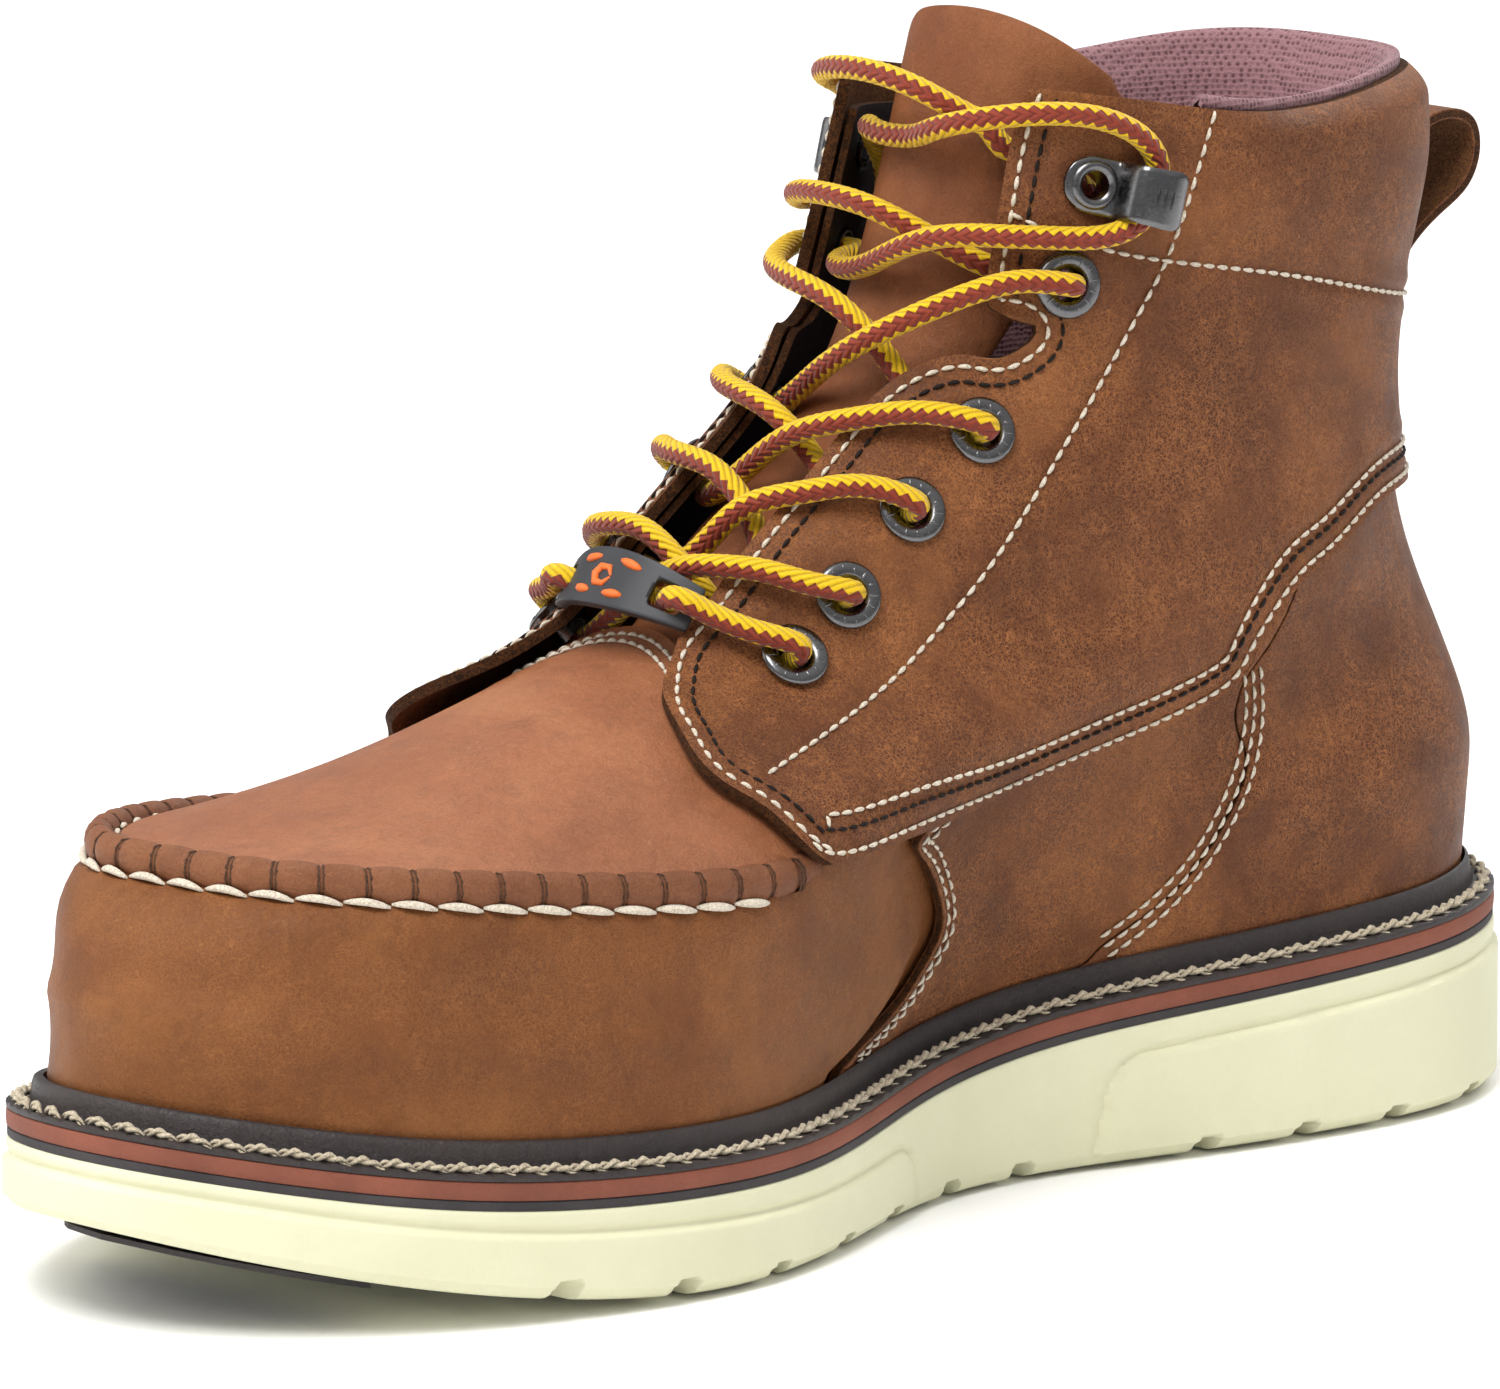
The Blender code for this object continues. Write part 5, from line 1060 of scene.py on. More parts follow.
def make_vamp():
    end = [(around - VAMP_LAP, up) for around, up in SIDE_FRONT]
    left = edge(end, 40)
    right = edge(mirrored(end), 40)
    width = right[0][0] - left[0][0]
    top_width = right[-1][0] - left[-1][0]
    steps = (np.array([VAMP_STEP, VAMP_STEP + 0.5]) - left[-1][0]) / top_width
    share = np.unique(np.r_[np.linspace(0, 8 / width, 14), np.linspace(8 / width, 1 - 8 / width, 150),
                            np.linspace(1 - 8 / width, 1, 14), steps, 1 - steps])
    low = np.stack([left[0][0] + width * share, np.full(len(share), -1.0)], 1)
    around = left[-1][0] + top_width * share
    height = np.interp(np.minimum(around, ROUND - around), [left[-1][0], 33, VAMP_STEP, VAMP_STEP + 0.5],
                       [left[-1][1], 2.45, 2.3, MOC_TOP + 0.05])
    cells = coons_at(low, right, np.stack([around, height], 1), left, share)
    fold = np.minimum(cells[..., 0], ROUND - cells[..., 0])
    stations, rows = np.transpose(SIDE_FRONT)
    ahead = fold - np.interp(cells[..., 1], rows, stations)
    dip = (LAP_DEPTH + 0.2) * (1 - ((ahead - 0.5) / 1.3).clip(0, 1))
    panel("vamp_leather", cells, -dip, -dip - LEATHER, ["vamp", "raw", "suede"], "upper_leather", "vamp",
          groups=("moc",))


def make_apron():
    ribs = []
    for around in np.linspace(57.2, 36, 62):
        inset = APRON_INSET - 3.0 * np.clip((47 - around) / 4, 0, 1)
        ribs.append((seam_point(around, inset), seam_point(ROUND - around, inset), 0.0))
    for share in np.linspace(0.2, 1, 5):
        near = np.array([44.6, -37.2, 0]) * (1 - share) + np.array([25, -36, 0]) * share
        far = np.array([-44.6, -37.2, 0]) * (1 - share) + np.array([-26, -36, 0]) * share
        ribs.append((near, far, -2.0 - 7.0 * share))
    grid = []
    share = np.linspace(0, 1, 64)
    for near, far, bow in ribs:
        x = near[0] + (far[0] - near[0]) * share
        y = near[1] + (far[1] - near[1]) * share - bow * np.sin(np.pi * share)
        grid.append(np.stack([x, y, apron_height(x, y)], 1))
    top = np.array(grid)
    normal = grid_normals(top)
    normal *= np.sign(normal[..., 2:])
    sewn = dented(top, normal, ("throat",), 0.3, 1.2)
    leather = sheet("apron_leather_piece", sewn, top - (0, 0, LEATHER), ["apron", "raw", "suede"])
    settle(leather, "apron_leather", "apron")


def throat_rows():
    """The double stitching across the apron's rear edge, in front of the tongue."""
    x = np.linspace(-21, 20, 60)
    rows = []
    for back in (2.2, 4.4):
        y = -36 + 9 * np.sin(np.pi * (x + 26) / 51) - back
        rows.append((np.stack([x, y, apron_height(x, y)], 1), np.tile([0, -0.35, 0.94], (60, 1))))
    return rows


PLEATS = 34
ROLL_START = 35.4
ROLL_LIFT = 2.0
ROLL_INWARD = 1.4
SLIT_SHIFT = 0.42        # each of a pleat's two slits lies this far from its middle
SLIT_HALF = 0.25
SLIT_RADIUS = 0.93       # as a share of the roll's
RING_STEPS = 14          # rings of the roll from one pleat to the next


def seam_line(start, steps, inward, lift):
    """Evenly spaced points along the moc seam, from one side to the other, with their stations."""
    fine = np.linspace(start, ROUND - start, 1500)
    spots = np.array([seam_point(a, inward, lift) for a in fine])
    reach = reach_of(spots)
    at = np.linspace(0, reach[-1], steps)
    return read_at(spots, reach, at), np.interp(at, reach, fine)


def roll_spoke(turn, out):
    """From the roll's middle to its face, at an angle from the outward direction towards the top."""
    return ROLL_OUT * np.cos(turn) * out + ROLL_UP * np.sin(turn) * UP


def make_moc_roll():
    """The pleated roll of leather over the moc seam, with the thick thread of the hand stitch below it."""
    turn = np.arange(16)[:, None] * 2 * np.pi / 16
    rings = []
    for i, around in enumerate(seam_line(ROLL_START, PLEATS * RING_STEPS + 1, ROLL_INWARD, ROLL_LIFT)[1]):
        tuck = np.clip((37.6 - min(around, ROUND - around)) / 1.6, 0, 1)
        phase = i / RING_STEPS % 1
        size = 0.96 + 0.08 * np.sin(np.pi * phase) - 0.13 * np.exp(-(min(phase, 1 - phase) / 0.085) ** 2)
        centre = seam_point(around, ROLL_INWARD + 1.2 * tuck, ROLL_LIFT)
        rings.append(centre + roll_spoke(turn, level_normal(around)) * size)
    settle(sweep("pleated_roll", rings, ["roll"], angle=60), "roll_leather", "moc_seam_roll")
    # thin dark loops in the roll's face at each pleat's two slits: painted shade inside the slits
    arc = np.linspace(-0.45, 1.25, 9) * np.pi
    slits = []
    for around in seam_line(ROLL_START, PLEATS + 1, ROLL_INWARD, ROLL_LIFT)[1][1:-1]:
        centre = seam_point(around, ROLL_INWARD, ROLL_LIFT)
        out = level_normal(around)
        side = np.cross(out, UP)
        for shift in (-SLIT_SHIFT, SLIT_SHIFT):
            away = [side * shift + roll_spoke(a, out) * SLIT_RADIUS for a in arc]
            slits.append(sweep_parts(np.array([
                [centre + spoke + side * SLIT_HALF, centre + spoke * 1.03, centre + spoke - side * SLIT_HALF,
                 centre + spoke * 0.9] for spoke in away])))
    settle(build("pleat_slits", *joined(slits), ["slit"], angle=80), "roll_leather")
    line = [(around, MOC_TOP + 0.03) for around in (37.8, 48, 60, 72, 82.2)]
    sew("moc_stitching", [along_surface(line, 0.35, 0, 900)], "white_thread", "lace", pitch=7.6, length=7.5,
        radius=0.75, dent="moc", lean=0.6, lift=0.5)
    points = seam_line(37.6, 900, 4.3, 3.2)[0]
    sew("moc_inner_stitching", [(points, np.tile(UP, (900, 1)))], "white_thread", "lace", pitch=7.6,
        length=3.0, radius=0.5)


def make_backstay():
    ups = np.linspace(0.5, 5.2, 70)
    around, up = np.meshgrid(np.linspace(-2.1, 2.1, 18), ups)
    low = np.interp(up, [3.6, 4.0], [LAYER_GAP, 2 * LAYER_GAP + LEATHER]) - 0.45
    rows = [(surface(line, ups, low[:, 0] + LEATHER), normal_at(np.full(70, line), ups))
            for line in (-1.55, 1.55)]
    sew("backstay_stitching", rows, "white_thread", "backstay_leather", dent="backstay")
    panel("backstay_strip", np.stack([around, up], 2), low + LEATHER, low, LEATHER_FACES, "backstay_leather",
          "backstay", groups=("backstay",))


STRAP_TOP = [(136.2, 149.5), (137.6, 153.5)]         # where the strap is sewn to the shaft
STRAP_FOOT = [(134.2, 134.6), (132.6, 129.5)]
STRAP_BEND = (137.6, 139.0)


def make_pull_loop():
    """The leather strap, one sheet from its top root on the shaft round the loop to its foot."""
    middle = path(STRAP_TOP + LOOP_PATH + [STRAP_BEND] + STRAP_FOOT, 110)
    along = unit(np.gradient(middle, axis=0))
    side = np.stack([-along[:, 1], along[:, 0]], 1)
    across = np.linspace(-LOOP_WIDTH / 2, LOOP_WIDTH / 2, 16)
    grids = [np.array([np.c_[np.full(110, x), middle + side * thick * LEATHER] for x in across])
             for thick in (0.5, -0.5)]
    strap = sheet("pull_strap", *grids, LEATHER_FACES)
    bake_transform(strap)
    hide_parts("pull_loop")


def rounded(share):
    """Thickness share of a pad at a share of the way in from its edge."""
    return np.sqrt(np.clip(1 - (1 - share.clip(0, 1)) ** 2, 0, 1))


def tongue_cells(ups, cols, narrower):
    """Stations and rows over the tongue's width, how deep each lies, and its share in from the side."""
    share = np.linspace(-1, 1, cols)[None, :]
    around = HALF + (spline(*TONGUE_HALF, ups) - narrower)[:, None] * share
    up = ups[:, None] - 0.35 * (ups - 6.4).clip(0, 1)[:, None] * share ** 2
    return around, up, TONGUE_DEPTH + 1.4 * ((4.1 - up) / 0.5).clip(0, 1), 1 - np.abs(share)


def make_tongue():
    ups = np.linspace(3.62, TONGUE_TOP, 90)
    around, up, depth, inward = tongue_cells(ups, 44, 0.0)
    puff = rounded(inward * 6) * rounded(((TONGUE_TOP - ups) / 0.16)[:, None])
    leather = sheet("tongue_leather_piece", surface(around, up, -depth + 0.5 * (puff - 1)),
                    surface(around, up, -depth - LEATHER), ["tongue", "raw", "suede"])
    settle(leather, "tongue_leather", "tongue", body="tongue")
    ups = np.linspace(3.8, TONGUE_TOP - 0.06, 60)
    around, up, depth, inward = tongue_cells(ups, 32, 0.8)
    puff = rounded(inward * 4) * rounded(((ups[-1] - ups) / 0.22)[:, None])
    near = depth + LAP_DEPTH
    pad = sheet("tongue_padding", surface(around, up, -near), surface(around, up, -near - 0.6 - 3.4 * puff),
                ["mesh"] * 3, bevel=0.25)
    settle(pad, "mesh_lining", "tongue_lining", body="tongue")


LINING_LEVELS = [0.05, 0.8, 1.6, 2.4, 3.2, 4.0, 4.4, 4.8, 5.2, 5.6, 6.0, 6.4, 6.62, 6.78]
# the lining's turn over the collar, as (share of the way in from the leather, row)
LINING_TURN = [(1.0, 6.92), (0.7, 7.03), (0.4, 7.085), (0.18, 7.1), (0.03, 7.08), (0.0, 7.03), (0.04, 7.0)]


def make_collar():
    """The mesh lining: inside the shaft, up over the collar's padding, and down to the leather's edge."""
    share = np.linspace(-1, 1, 150)
    rows = []
    for up in LINING_LEVELS:
        around = np.interp(up, [2.4, 3.3], [33.5, 38.0]) * share
        rows.append(surface(around, up, -lining_depth(around, np.full(150, up)) - 1.2))
    around = 38.0 * share
    edge_in = collar_tuck(around, 7.0) - 1.2
    deep = np.maximum(lining_depth(around, 7.0) + 1.2, edge_in + 1.6)
    for at, rise in LINING_TURN:
        rows.append(surface(around, rise, -(edge_in + (deep - edge_in) * at)))
    fine = spline(np.arange(len(rows)), rows, np.linspace(0, len(rows) - 1, 110))
    normal = grid_normals(fine)
    normal *= np.sign((normal[40] * (fine[40] - fine.mean((0, 1)))).sum())
    lining = sheet("collar_lining", fine, fine + normal * 0.9, ["mesh"] * 3, bevel=0)
    settle(lining, "mesh_lining", "shaft_lining")
    around, up = np.meshgrid(np.linspace(-36, 36, 80), np.linspace(4.45, 6.7, 30))
    inner = surface(around, up, 0.7 - lining_depth(around, up))
    pad = sheet("collar_foam", surface(around, up, -0.1), inner, ["sock"] * 3, bevel=0)
    settle(pad, "foam", "collar_padding")


# ---- sole ----------------------------------------------------------------------------------------------
TIMES = 4


def fine_outline(inset, times):
    """The welt's outline moved inwards, with times as many points."""
    return closed_curve(inset_outline(inset), ROUND * times, lap=6)


def rim_ring(inset, rise):
    """A fine ring round the boot: an inset from the welt's edge, and a height over its shelf."""
    ring = fine_outline(inset, TIMES)
    return np.c_[ring, spline(WELT_Y, WELT_Z, ring[:, 1]) + rise]


def stack(name, levels, looks, marks=None, **how):
    """A solid stacked from closed rings, bottom first."""
    rings = np.array(levels)
    count, sides = rings.shape[:2]
    faces = grid_faces(count, sides, wrap=True)
    for base in (0, (count - 1) * sides):
        for i in range(sides // 2):
            loop = [base + k for k in (i, i + 1, (sides - i - 1) % sides, (sides - i) % sides)]
            faces.append(tuple(dict.fromkeys(loop)))
    return build(name, rings.reshape(-1, 3), faces, looks, marks, **how)


SOLE_TIMES = 6
SOLE_STEP = 0.75         # how far the moulded panels stand proud of the sole's side
PANEL_TOP = ([-140, -60, 0, 60, 140], [3.2, 4.8, 6.0, 5.4, 4.3])     # from the sole's top down to them
HEEL_PANEL_START = 44.0
TOE_PANEL_START = -2.0


def panel_share(y, below):
    """1 on the two raised panels moulded in the sole's side, 0 off them, with round corners."""
    best = np.zeros_like(y)
    line = np.zeros_like(y)
    deep_in = below - np.interp(y, *PANEL_TOP)
    for along in (y - HEEL_PANEL_START - 0.22 * (20 - below).clip(0, 20), TOE_PANEL_START - y):
        corner = 5.5
        a = corner - along
        b = corner - deep_in
        deep = np.where((a > 0) & (b > 0), corner - np.hypot(a, b), np.minimum(along, deep_in))
        best = np.maximum(best, (deep / 0.9 + 0.5).clip(0, 1))
        line = np.maximum(line, np.exp(-((deep + 0.7) / 0.7) ** 2))
    return best * best * (3 - 2 * best) - 0.75 * line


def make_outsole():
    flat = fine_outline(0.0, SOLE_TIMES)
    out = flat - fine_outline(1.0, SOLE_TIMES)
    y = flat[:, 1]
    top = spline(WELT_Y, WELT_Z, y) - (WELT_THICK + BRICK_THICK + DARK_THICK + 3 * SOLE_GAP)
    floor = sole_floor(y)
    levels = [(floor + rise, inset) for rise, inset in ((0, 2.5), (0.35, 1.4), (1.0, 0.5), (1.8, 0.0))]
    for share in np.linspace(0, 1, 40):
        z = floor + 2.4 + (top - floor - 3.1) * share
        levels.append((z, -0.1 - SOLE_STEP * panel_share(y, top - z)))
    levels += [(top - 0.3, 0.0), (top, 0.3)]
    rings = [np.c_[flat - out * np.broadcast_to(inset, len(y))[:, None], z] for z, inset in levels]
    sole = stack("wedge_sole", rings, ["cream"], angle=50)
    rods = []
    half = TREAD_WIDTH / 2
    for y in TREAD_Y:
        high = float(sole_floor(y)) + TREAD_DEPTH
        section = [(-half, -2), (-half, high - 0.8), (0.8 - half, high), (half - 0.8, high),
                   (half, high - 0.8), (half, -2)]
        for side in (1, -1):
            rods.append(sweep_parts(np.array([[(x * side, y + shift + along, z) for along, z in section]
                                              for x, shift in ((TREAD_START, 0), (TREAD_END, TREAD_SLANT))])))
    drill(sole, build("tread_rods", *joined(rods), ["cream"]))
    settle(sole, "sole_rubber", "outsole")


def make_midsoles():
    high = -WELT_THICK - SOLE_GAP
    low = high - BRICK_THICK
    brick = [(0.25, low), (0.0, low + 0.25), (-0.1, (low + high) / 2), (0.0, high - 0.25), (0.25, high)]
    high = low - SOLE_GAP
    low = high - DARK_THICK
    slate = [(0.3, low - 0.25), (0.1, low), (0.1, high), (0.3, high + 0.2)]
    for name, levels, look, slot, node in (
            ("brick_layer", brick, "brick", "brick_rubber", "brick_midsole"),
            ("slate_layer", slate, "slate", "dark_rubber", "rubber_midsole")):
        settle(stack(name, [rim_ring(inset, rise) for inset, rise in levels], [look]), slot, node)


def make_welt():
    leather = around_share(FEATHER_INSET)
    section = [(0.0, -WELT_THICK - 0.2), (-0.1, -0.6), (0.0, -0.15), (0.4, 0.0), (2.9, 0.0), (3.5, 0.25),
               (3.9, 1.3), (4.1, WELT_RIDGE - 1.4), (4.4, WELT_RIDGE - 0.4), (4.9, WELT_RIDGE),
               (leather - 0.6, WELT_RIDGE), (leather - 0.5, 0.4), (leather + 8.0, 0.4),
               (leather + 8.0, -WELT_THICK)]
    rings = np.array([rim_ring(inset, rise) for inset, rise in section]).transpose(1, 0, 2)
    rings[::3, 2:4, 2] -= 0.3
    settle(sweep("welt_strip", rings, ["welt"], closed=True), "welt_leather", "storm_welt")
    ring = rim_ring(1.75, 0.1)
    ring = np.vstack([ring, ring[:1]])
    sew("welt_stitching", [(ring, np.tile(UP, (len(ring), 1)))], "tan_thread", "welt_leather", pitch=5.4,
        length=6.2, radius=0.85, twist=True, lean=1.7, lift=0.55)


# ---- lacing --------------------------------------------------------------------------------------------
def lathe(name, around, up, profile, sides=40):
    out, across, rise = frame_at(around, up)
    centre = surface(around, up)
    loops = [ring_of_points(centre + out * depth, across, rise, radius, sides) for radius, depth in profile]
    return sweep(name, np.array(loops).transpose(1, 0, 2), ["gunmetal"], closed=True, angle=35)


def raised_line(ends, out, length, radius):
    """A short straight bead between two points of a face with the normal out."""
    return stitches(np.array(ends), np.array([out, out]), 9, length, radius, lift=0.0)


EYELET_RIM = [(3.2, 0), (5.5, -0.05), (5.65, 0.15), (5.55, 0.45), (5.2, 0.72), (4.5, 0.9), (3.7, 0.86),
              (3.1, 0.62), (2.8, 0.2)]


def make_eyelets():
    marks = []
    for side in SIDES:
        for number, spot in enumerate(EYELETS, 1):
            around, up = on_side(side, spot)
            seat = OVER + EYELET_SEAT[number - 1]
            profile = [(2.75, -1.9), (3.2, -1.9)] + [(radius, seat + rise) for radius, rise in EYELET_RIM]
            settle(lathe("grommet_%s_%d" % (side, number), around, up, profile), "gunmetal",
                   "eyelet_%s_%d" % (side, number))
            out, across, rise = frame_at(around, up)
            centre = surface(around, up, seat + 0.86)
            for k in range(14):
                turn = k * 2 * np.pi / 14
                radial = np.cos(turn) * across + np.sin(turn) * rise
                tall = 0.75 if k % 2 else 0.5
                ends = [centre + radial * (4.2 - tall), centre + radial * (4.2 + tall)]
                marks.append(raised_line(ends, out, 2 * tall, 0.24))
    settle(build("grommet_marks", *joined(marks), ["gunmetal"], angle=60), "gunmetal")


# the hook's plate as (distance behind its rivet, depth, half width), and its section as shares
HOOK_SHAPE = [(-5.3, 3.1, 0.9), (-4.9, 3.1, 2.1), (-4.0, 3.1, 3.3), (-2.6, 3.1, 4.2), (0, 3.1, 4.75),
              (3.4, 3.1, 4.75), (4.8, 4.4, 4.7), (6.0, 7.4, 4.7), (7.4, 8.6, 4.75), (10, 8.9, 4.85),
              (12.6, 8.5, 4.8), (13.9, 7.1, 4.4)]
HOOK_SECTION = [(-0.96, 0.0), (0.96, 0.0), (1.0, 0.3), (1.0, 0.65), (0.93, 0.9), (0.8, 1.0), (-0.8, 1.0),
                (-0.93, 0.9), (-1.0, 0.65), (-1.0, 0.3)]


def make_hooks():
    """Each hook: a riveted plate whose rear end stands clear, thick and rounded, of the leather."""
    table = np.array(HOOK_SHAPE)
    reach = np.linspace(table[0, 0], table[-1, 0], 44)
    spots = np.c_[reach, spline(table[:, 0], table[:, 1:], reach)]
    slope = unit(np.gradient(spots[:, :2], axis=0))
    for side in SIDES:
        place, row = on_side(side, HOOK)
        out, across, rise = frame_at(place, row)
        heelward = np.cross(out, rise)
        heelward *= np.sign(heelward[1])
        centre = surface(place, row)
        rings = [[centre + heelward * (along - dd * HOOK_THICK * thick)
                  + out * (depth + da * HOOK_THICK * thick) + rise * width * half
                  for width, thick in HOOK_SECTION] for (along, depth, half), (da, dd) in zip(spots, slope)]
        plate = sweep("hook_plate_" + side, rings, ["gunmetal"], angle=50)
        marks = []
        for along in (9.2, 10.4, 11.6):
            deep = np.interp(along, spots[:, 0], spots[:, 1]) + HOOK_THICK - 0.05
            middle = centre + heelward * along + out * deep
            marks.append(raised_line([middle - rise * 1.9, middle + rise * 1.9], out, 3.6, 0.34))
        settle(build("hook_marks_" + side, *joined(marks), ["dark_metal"], angle=60), "gunmetal")
        rod = [ring_of_points(centre + out * depth, across, rise, 3.0, 32) for depth in (1.5, 6.5)]
        drill(plate, sweep("hook_rod", rod, ["gunmetal"]))
        settle(plate, "gunmetal", "lace_hook_" + side)
        profile = [(2.3, -1.9), (2.8, -1.9), (2.8, 3.7), (3.9, 3.9), (4.05, 4.1), (3.8, 4.4), (3.3, 4.55),
                   (2.8, 4.45), (2.4, 4.1)]
        settle(lathe("hook_grommet_" + side, place, row, profile), "rivet_metal", "hook_rivet_" + side)


def lace_frames():
    """Fine points of the lace, the outward direction of the boot beneath them, and how far along they lie."""
    first, second = [np.hstack([surface(*spots), normal_at(*spots[:2])])
                     for spots in (half_route(MEDIAL_TOP, False).T, half_route(LATERAL_TOP, True).T)]
    under_tag = [(-x, over) for x, over in BAR_IN_TAG] + [(0, -4.5)] + BAR_IN_TAG[::-1]
    bar = [np.r_[tag_point(x, over), TAG_NORMAL] for x, over in under_tag]
    coarse = np.vstack([first, bar, second[::-1]])
    reach = reach_of(coarse[:, :3], 0.75)
    fine = spline(reach, coarse, np.linspace(0, reach[-1], 6000))
    reach = reach_of(fine[:, :3])
    at = np.linspace(0, reach[-1], int(reach[-1] / LACE_STEP))
    table = read_at(fine, reach, at)
    return table[:, :3], table[:, 3:], at


def steady_turn(ahead, facing):
    """Directions across the lace that follow the outward side without twisting at the holes."""
    across = []
    last = np.cross(ahead[0], (0.3, 0.2, 1.0))
    for direction in ahead:
        last = unit(last - direction * last.dot(direction))
        across.append(last)
    across = np.array(across)
    other = np.cross(ahead, across)
    reading = (facing * across).sum(1) + 1j * (facing * other).sum(1)
    window = np.exp(-(np.arange(-24, 25) / 9.0) ** 2)
    turn = np.unwrap(np.angle(np.convolve(reading * np.abs(reading), window, "same")))[:, None]
    return across * np.cos(turn) + other * np.sin(turn)


LACE_SIDES = 16


def make_lace():
    points, facing, along = lace_frames()
    ahead = unit(np.gradient(points, axis=0))
    out = steady_turn(ahead, facing)
    side = np.cross(ahead, out)
    roll = np.interp(points[:, 2], [100, 128, 150, 166], [1.15, 0.95, 0.35, 0.1])
    window = np.exp(-(np.arange(-12, 13) / 6.0) ** 2)
    low_side = np.convolve((-side[:, 2] * 3).clip(-1, 1), window / window.sum(), "same")
    shift = 0.5 - roll * low_side / (2 * np.pi)
    turn = np.arange(LACE_SIDES) * 2 * np.pi / LACE_SIDES
    radius = LACE_RADIUS * 1.03 * (1 + 0.03 * np.cos(along[:, None] / 0.85 * np.pi + turn * 4))
    rings = (points[:, None] + (radius * np.cos(turn))[..., None] * out[:, None]
             + (radius * np.sin(turn))[..., None] * side[:, None])
    thing = sweep("braided_cord", rings, ["lace"], angle=80)
    mesh = thing.data
    layer = mesh.uv_layers.new(name="braid")
    for polygon in mesh.polygons:
        rows, spins = np.divmod([mesh.loops[k].vertex_index for k in polygon.loop_indices], LACE_SIDES)
        turns = spins / LACE_SIDES
        if np.ptp(turns) > 0.5:
            turns = turns + (turns < 0.5)
        for k, row, share in zip(polygon.loop_indices, rows, turns):
            layer.data[k].uv = (share + shift[row], along[row] * MM)
    settle(thing, "lace", "lace")


TAG_BARS = [[(-6.5, 2.6), (-2.2, 3.3)], [(2.2, 3.3), (6.5, 2.6)], [(-5.4, -2.6), (-1.6, -3.0)],
            [(1.6, -3.0), (5.4, -2.6)]]


def make_tag():
    """The arched rubber tag with raised plain marks."""
    places = np.linspace(-TAG_HALF, TAG_HALF, 60)
    half = TAG_LENGTH / 2 - TAG_NARROWING * (places / TAG_HALF) ** 2
    grids = [np.array([[tag_face(x) + TAG_RISE * wide * share - tag_out(x) * thick
                        for x, wide in zip(places, half)] for share in np.linspace(-1, 1, 16)])
             for thick in (0.0, TAG_THICK)]
    verts, faces, _ = shell_parts(*grids)
    tag = build("arched_tag", verts, faces, ["black_rubber"], bevel=0.35)
    out = tag_out(TAG_SLOT_X)
    angle = np.arange(24) * 2 * np.pi / 24
    wide, tall = [(np.sign(wave) * np.abs(wave) ** 0.4)[:, None] for wave in (np.cos(angle), np.sin(angle))]
    slot = np.array([tag_face(TAG_SLOT_X) + out * depth + np.cross(TAG_RISE, out) * TAG_SLOT_WIDE * wide
                     + TAG_RISE * TAG_SLOT_TALL * tall for depth in (-6.0, 6.0)])
    drill(tag, build("slot_rods", *joined([sweep_parts(slot * (turn, 1, 1)) for turn in (1, -1)]),
                     ["black_rubber"]))
    settle(tag, "tag_rubber", "lace_tag", body="lace_tag")
    ring = [(1.7 * math.cos(a), 1.7 * math.sin(a)) for a in np.linspace(0, 2 * math.pi, 13)]
    marks = []
    for line in TAG_BARS + [ring]:
        spots = path(line, 24, smooth=len(line) > 2)
        normals = np.array([tag_out(x) for x, _ in spots])
        points = np.array([tag_face(x) + TAG_RISE * rise for x, rise in spots]) + normals * 0.1
        long = reach_of(points)[-1]
        marks.append(stitches(points, normals, long, long * 0.98, 0.8, lift=0.1))
    settle(build("tag_marks", *joined(marks), ["orange"], angle=80), "tag_rubber", body="lace_tag")


# ---- studio --------------------------------------------------------------------------------------------
# the lamps as (name, place, size, power), in metres and watts
LAMPS = [("key", (0.35, -0.9, 1.7), 1.0, 34), ("fill", (-1.2, -0.9, 0.9), 1.4, 9),
         ("rim", (-0.3, 1.4, 1.2), 1.0, 12)]
LAMP_AIM = Vector((0, 0, 0.08))
FLOOR_HALF = 30
FLOOR_Z = -0.0006        # just under the sole, so that they don't share a plane


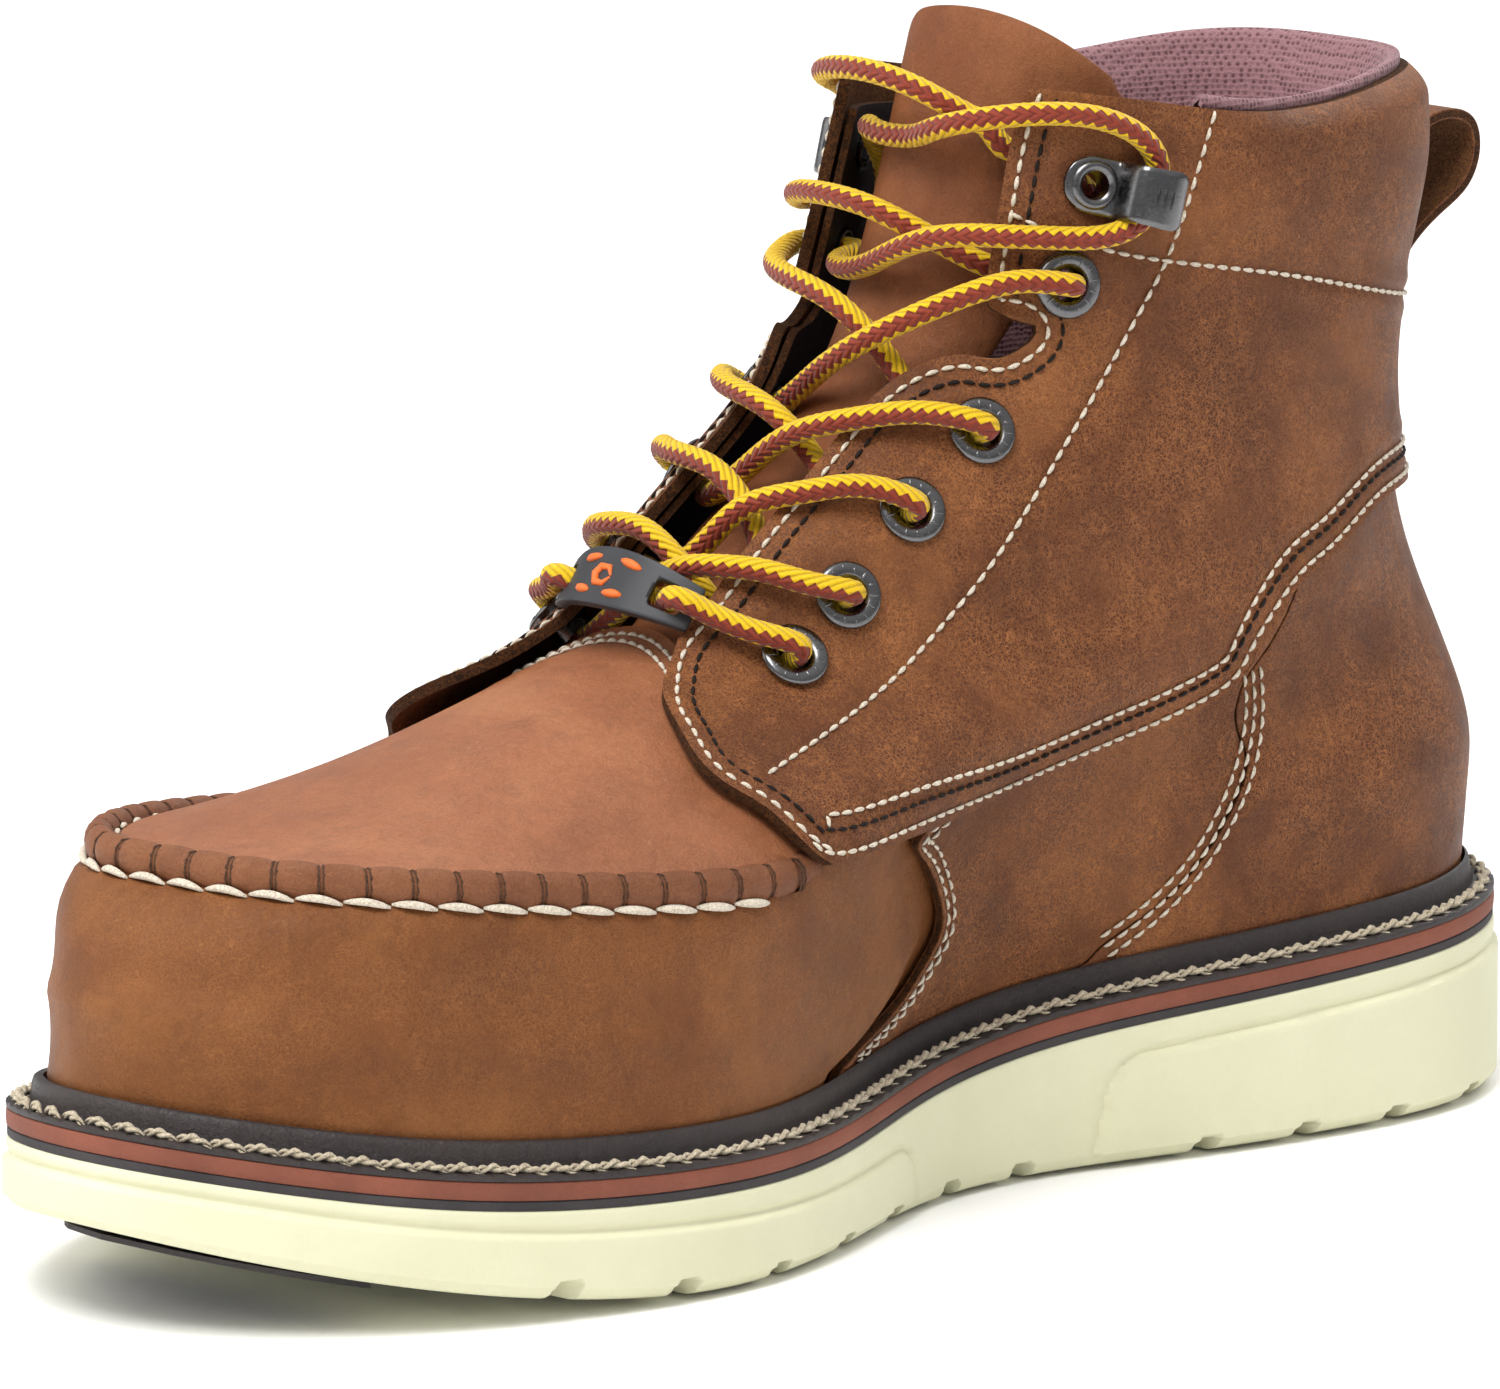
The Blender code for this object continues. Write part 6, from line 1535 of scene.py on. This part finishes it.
def make_studio():
    look = Look("studio_floor", 0.85, Specular_IOR_Level=0.1)
    look.colour(look.ramp(look.noise(3, 2), [(0.3, srgb(250, 250, 250)), (0.7, srgb(254, 254, 254))]))
    mesh = bpy.data.meshes.new("floor")
    corners = [(-1, -1), (1, -1), (1, 1), (-1, 1)]
    mesh.from_pydata([(x * FLOOR_HALF, y * FLOOR_HALF, FLOOR_Z) for x, y in corners], [], [(0, 1, 2, 3)])
    mesh.materials.append(look.made)
    floor = bpy.data.objects.new("floor", mesh)
    bpy.context.collection.objects.link(floor)
    world = bpy.data.worlds.new("studio")
    world.use_nodes = True
    tree = world.node_tree
    place = tree.nodes.new("ShaderNodeTexCoord")
    parts = tree.nodes.new("ShaderNodeSeparateXYZ")
    shade = tree.nodes.new("ShaderNodeValToRGB")
    shade.color_ramp.elements[0].color = (0.3, 0.3, 0.31, 1)
    shade.color_ramp.elements[1].color = (0.86, 0.86, 0.86, 1)
    tree.links.new(place.outputs["Generated"], parts.inputs["Vector"])
    tree.links.new(parts.outputs["Z"], shade.inputs["Fac"])
    tree.links.new(shade.outputs["Color"], tree.nodes["Background"].inputs["Color"])
    bpy.context.scene.world = world
    bpy.context.scene.view_settings.view_transform = "Standard"
    for name, place, size, power in LAMPS:
        light = bpy.data.lights.new(name, "AREA")
        light.size = size
        light.energy = power
        lamp = bpy.data.objects.new(name, light)
        lamp.location = place
        aim = LAMP_AIM - Vector(place)
        lamp.rotation_euler = aim.to_track_quat("-Z", "Y").to_euler()
        bpy.context.collection.objects.link(lamp)


CAMERA_TURN = math.radians(46.92)
CAMERA_RISE = math.radians(10.79)
CAMERA_FAR = 2.150
CAMERA_AIM = Vector((0.0528, -0.0531, 0.0952))
CAMERA_LENS = 13547 / 1500 * 36


def make_camera():
    level = math.cos(CAMERA_RISE)
    back = Vector((math.sin(CAMERA_TURN) * level, -math.cos(CAMERA_TURN) * level, math.sin(CAMERA_RISE)))
    data = bpy.data.cameras.new("camera")
    data.lens = CAMERA_LENS
    data.sensor_width = 36
    data.clip_end = 100
    camera = bpy.data.objects.new("camera", data)
    camera.location = CAMERA_AIM + back * CAMERA_FAR
    camera.rotation_euler = (-back).to_track_quat("-Z", "Y").to_euler()
    bpy.context.collection.objects.link(camera)
    bpy.context.scene.camera = camera


FRAME_LOOKS = {"cork_filler": "cork", "insole_board": "board", "footbed": "sock", "steel_shank": "cap",
               "steel_toe_cap": "cap", "toe_cap_trim": "slate", "heel_counter": "board",
               "vamp_lining": "sock", "toe_tread_insert": "slate", "aglet_lateral": "film",
               "aglet_medial": "film"}


def dress_frame():
    """Give the CAD pieces that keep their shapes better looks."""
    for node, look in FRAME_LOOKS.items():
        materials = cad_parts[node].data.materials
        if materials:
            materials[0] = LOOKS[look]
        else:
            materials.append(LOOKS[look])


make_camera()
make_studio()
dress_frame()
sew_upper()
sew("throat_stitching", throat_rows(), "white_thread", "apron_leather", dent="throat", pitch=2.4)
make_moc_roll()
make_quarters()
make_side_panels()
make_heel_panel()
make_vamp()
make_apron()
make_backstay()
make_pull_loop()
make_tongue()
make_collar()
make_outsole()
make_midsoles()
make_welt()
make_eyelets()
make_hooks()
make_lace()
make_tag()
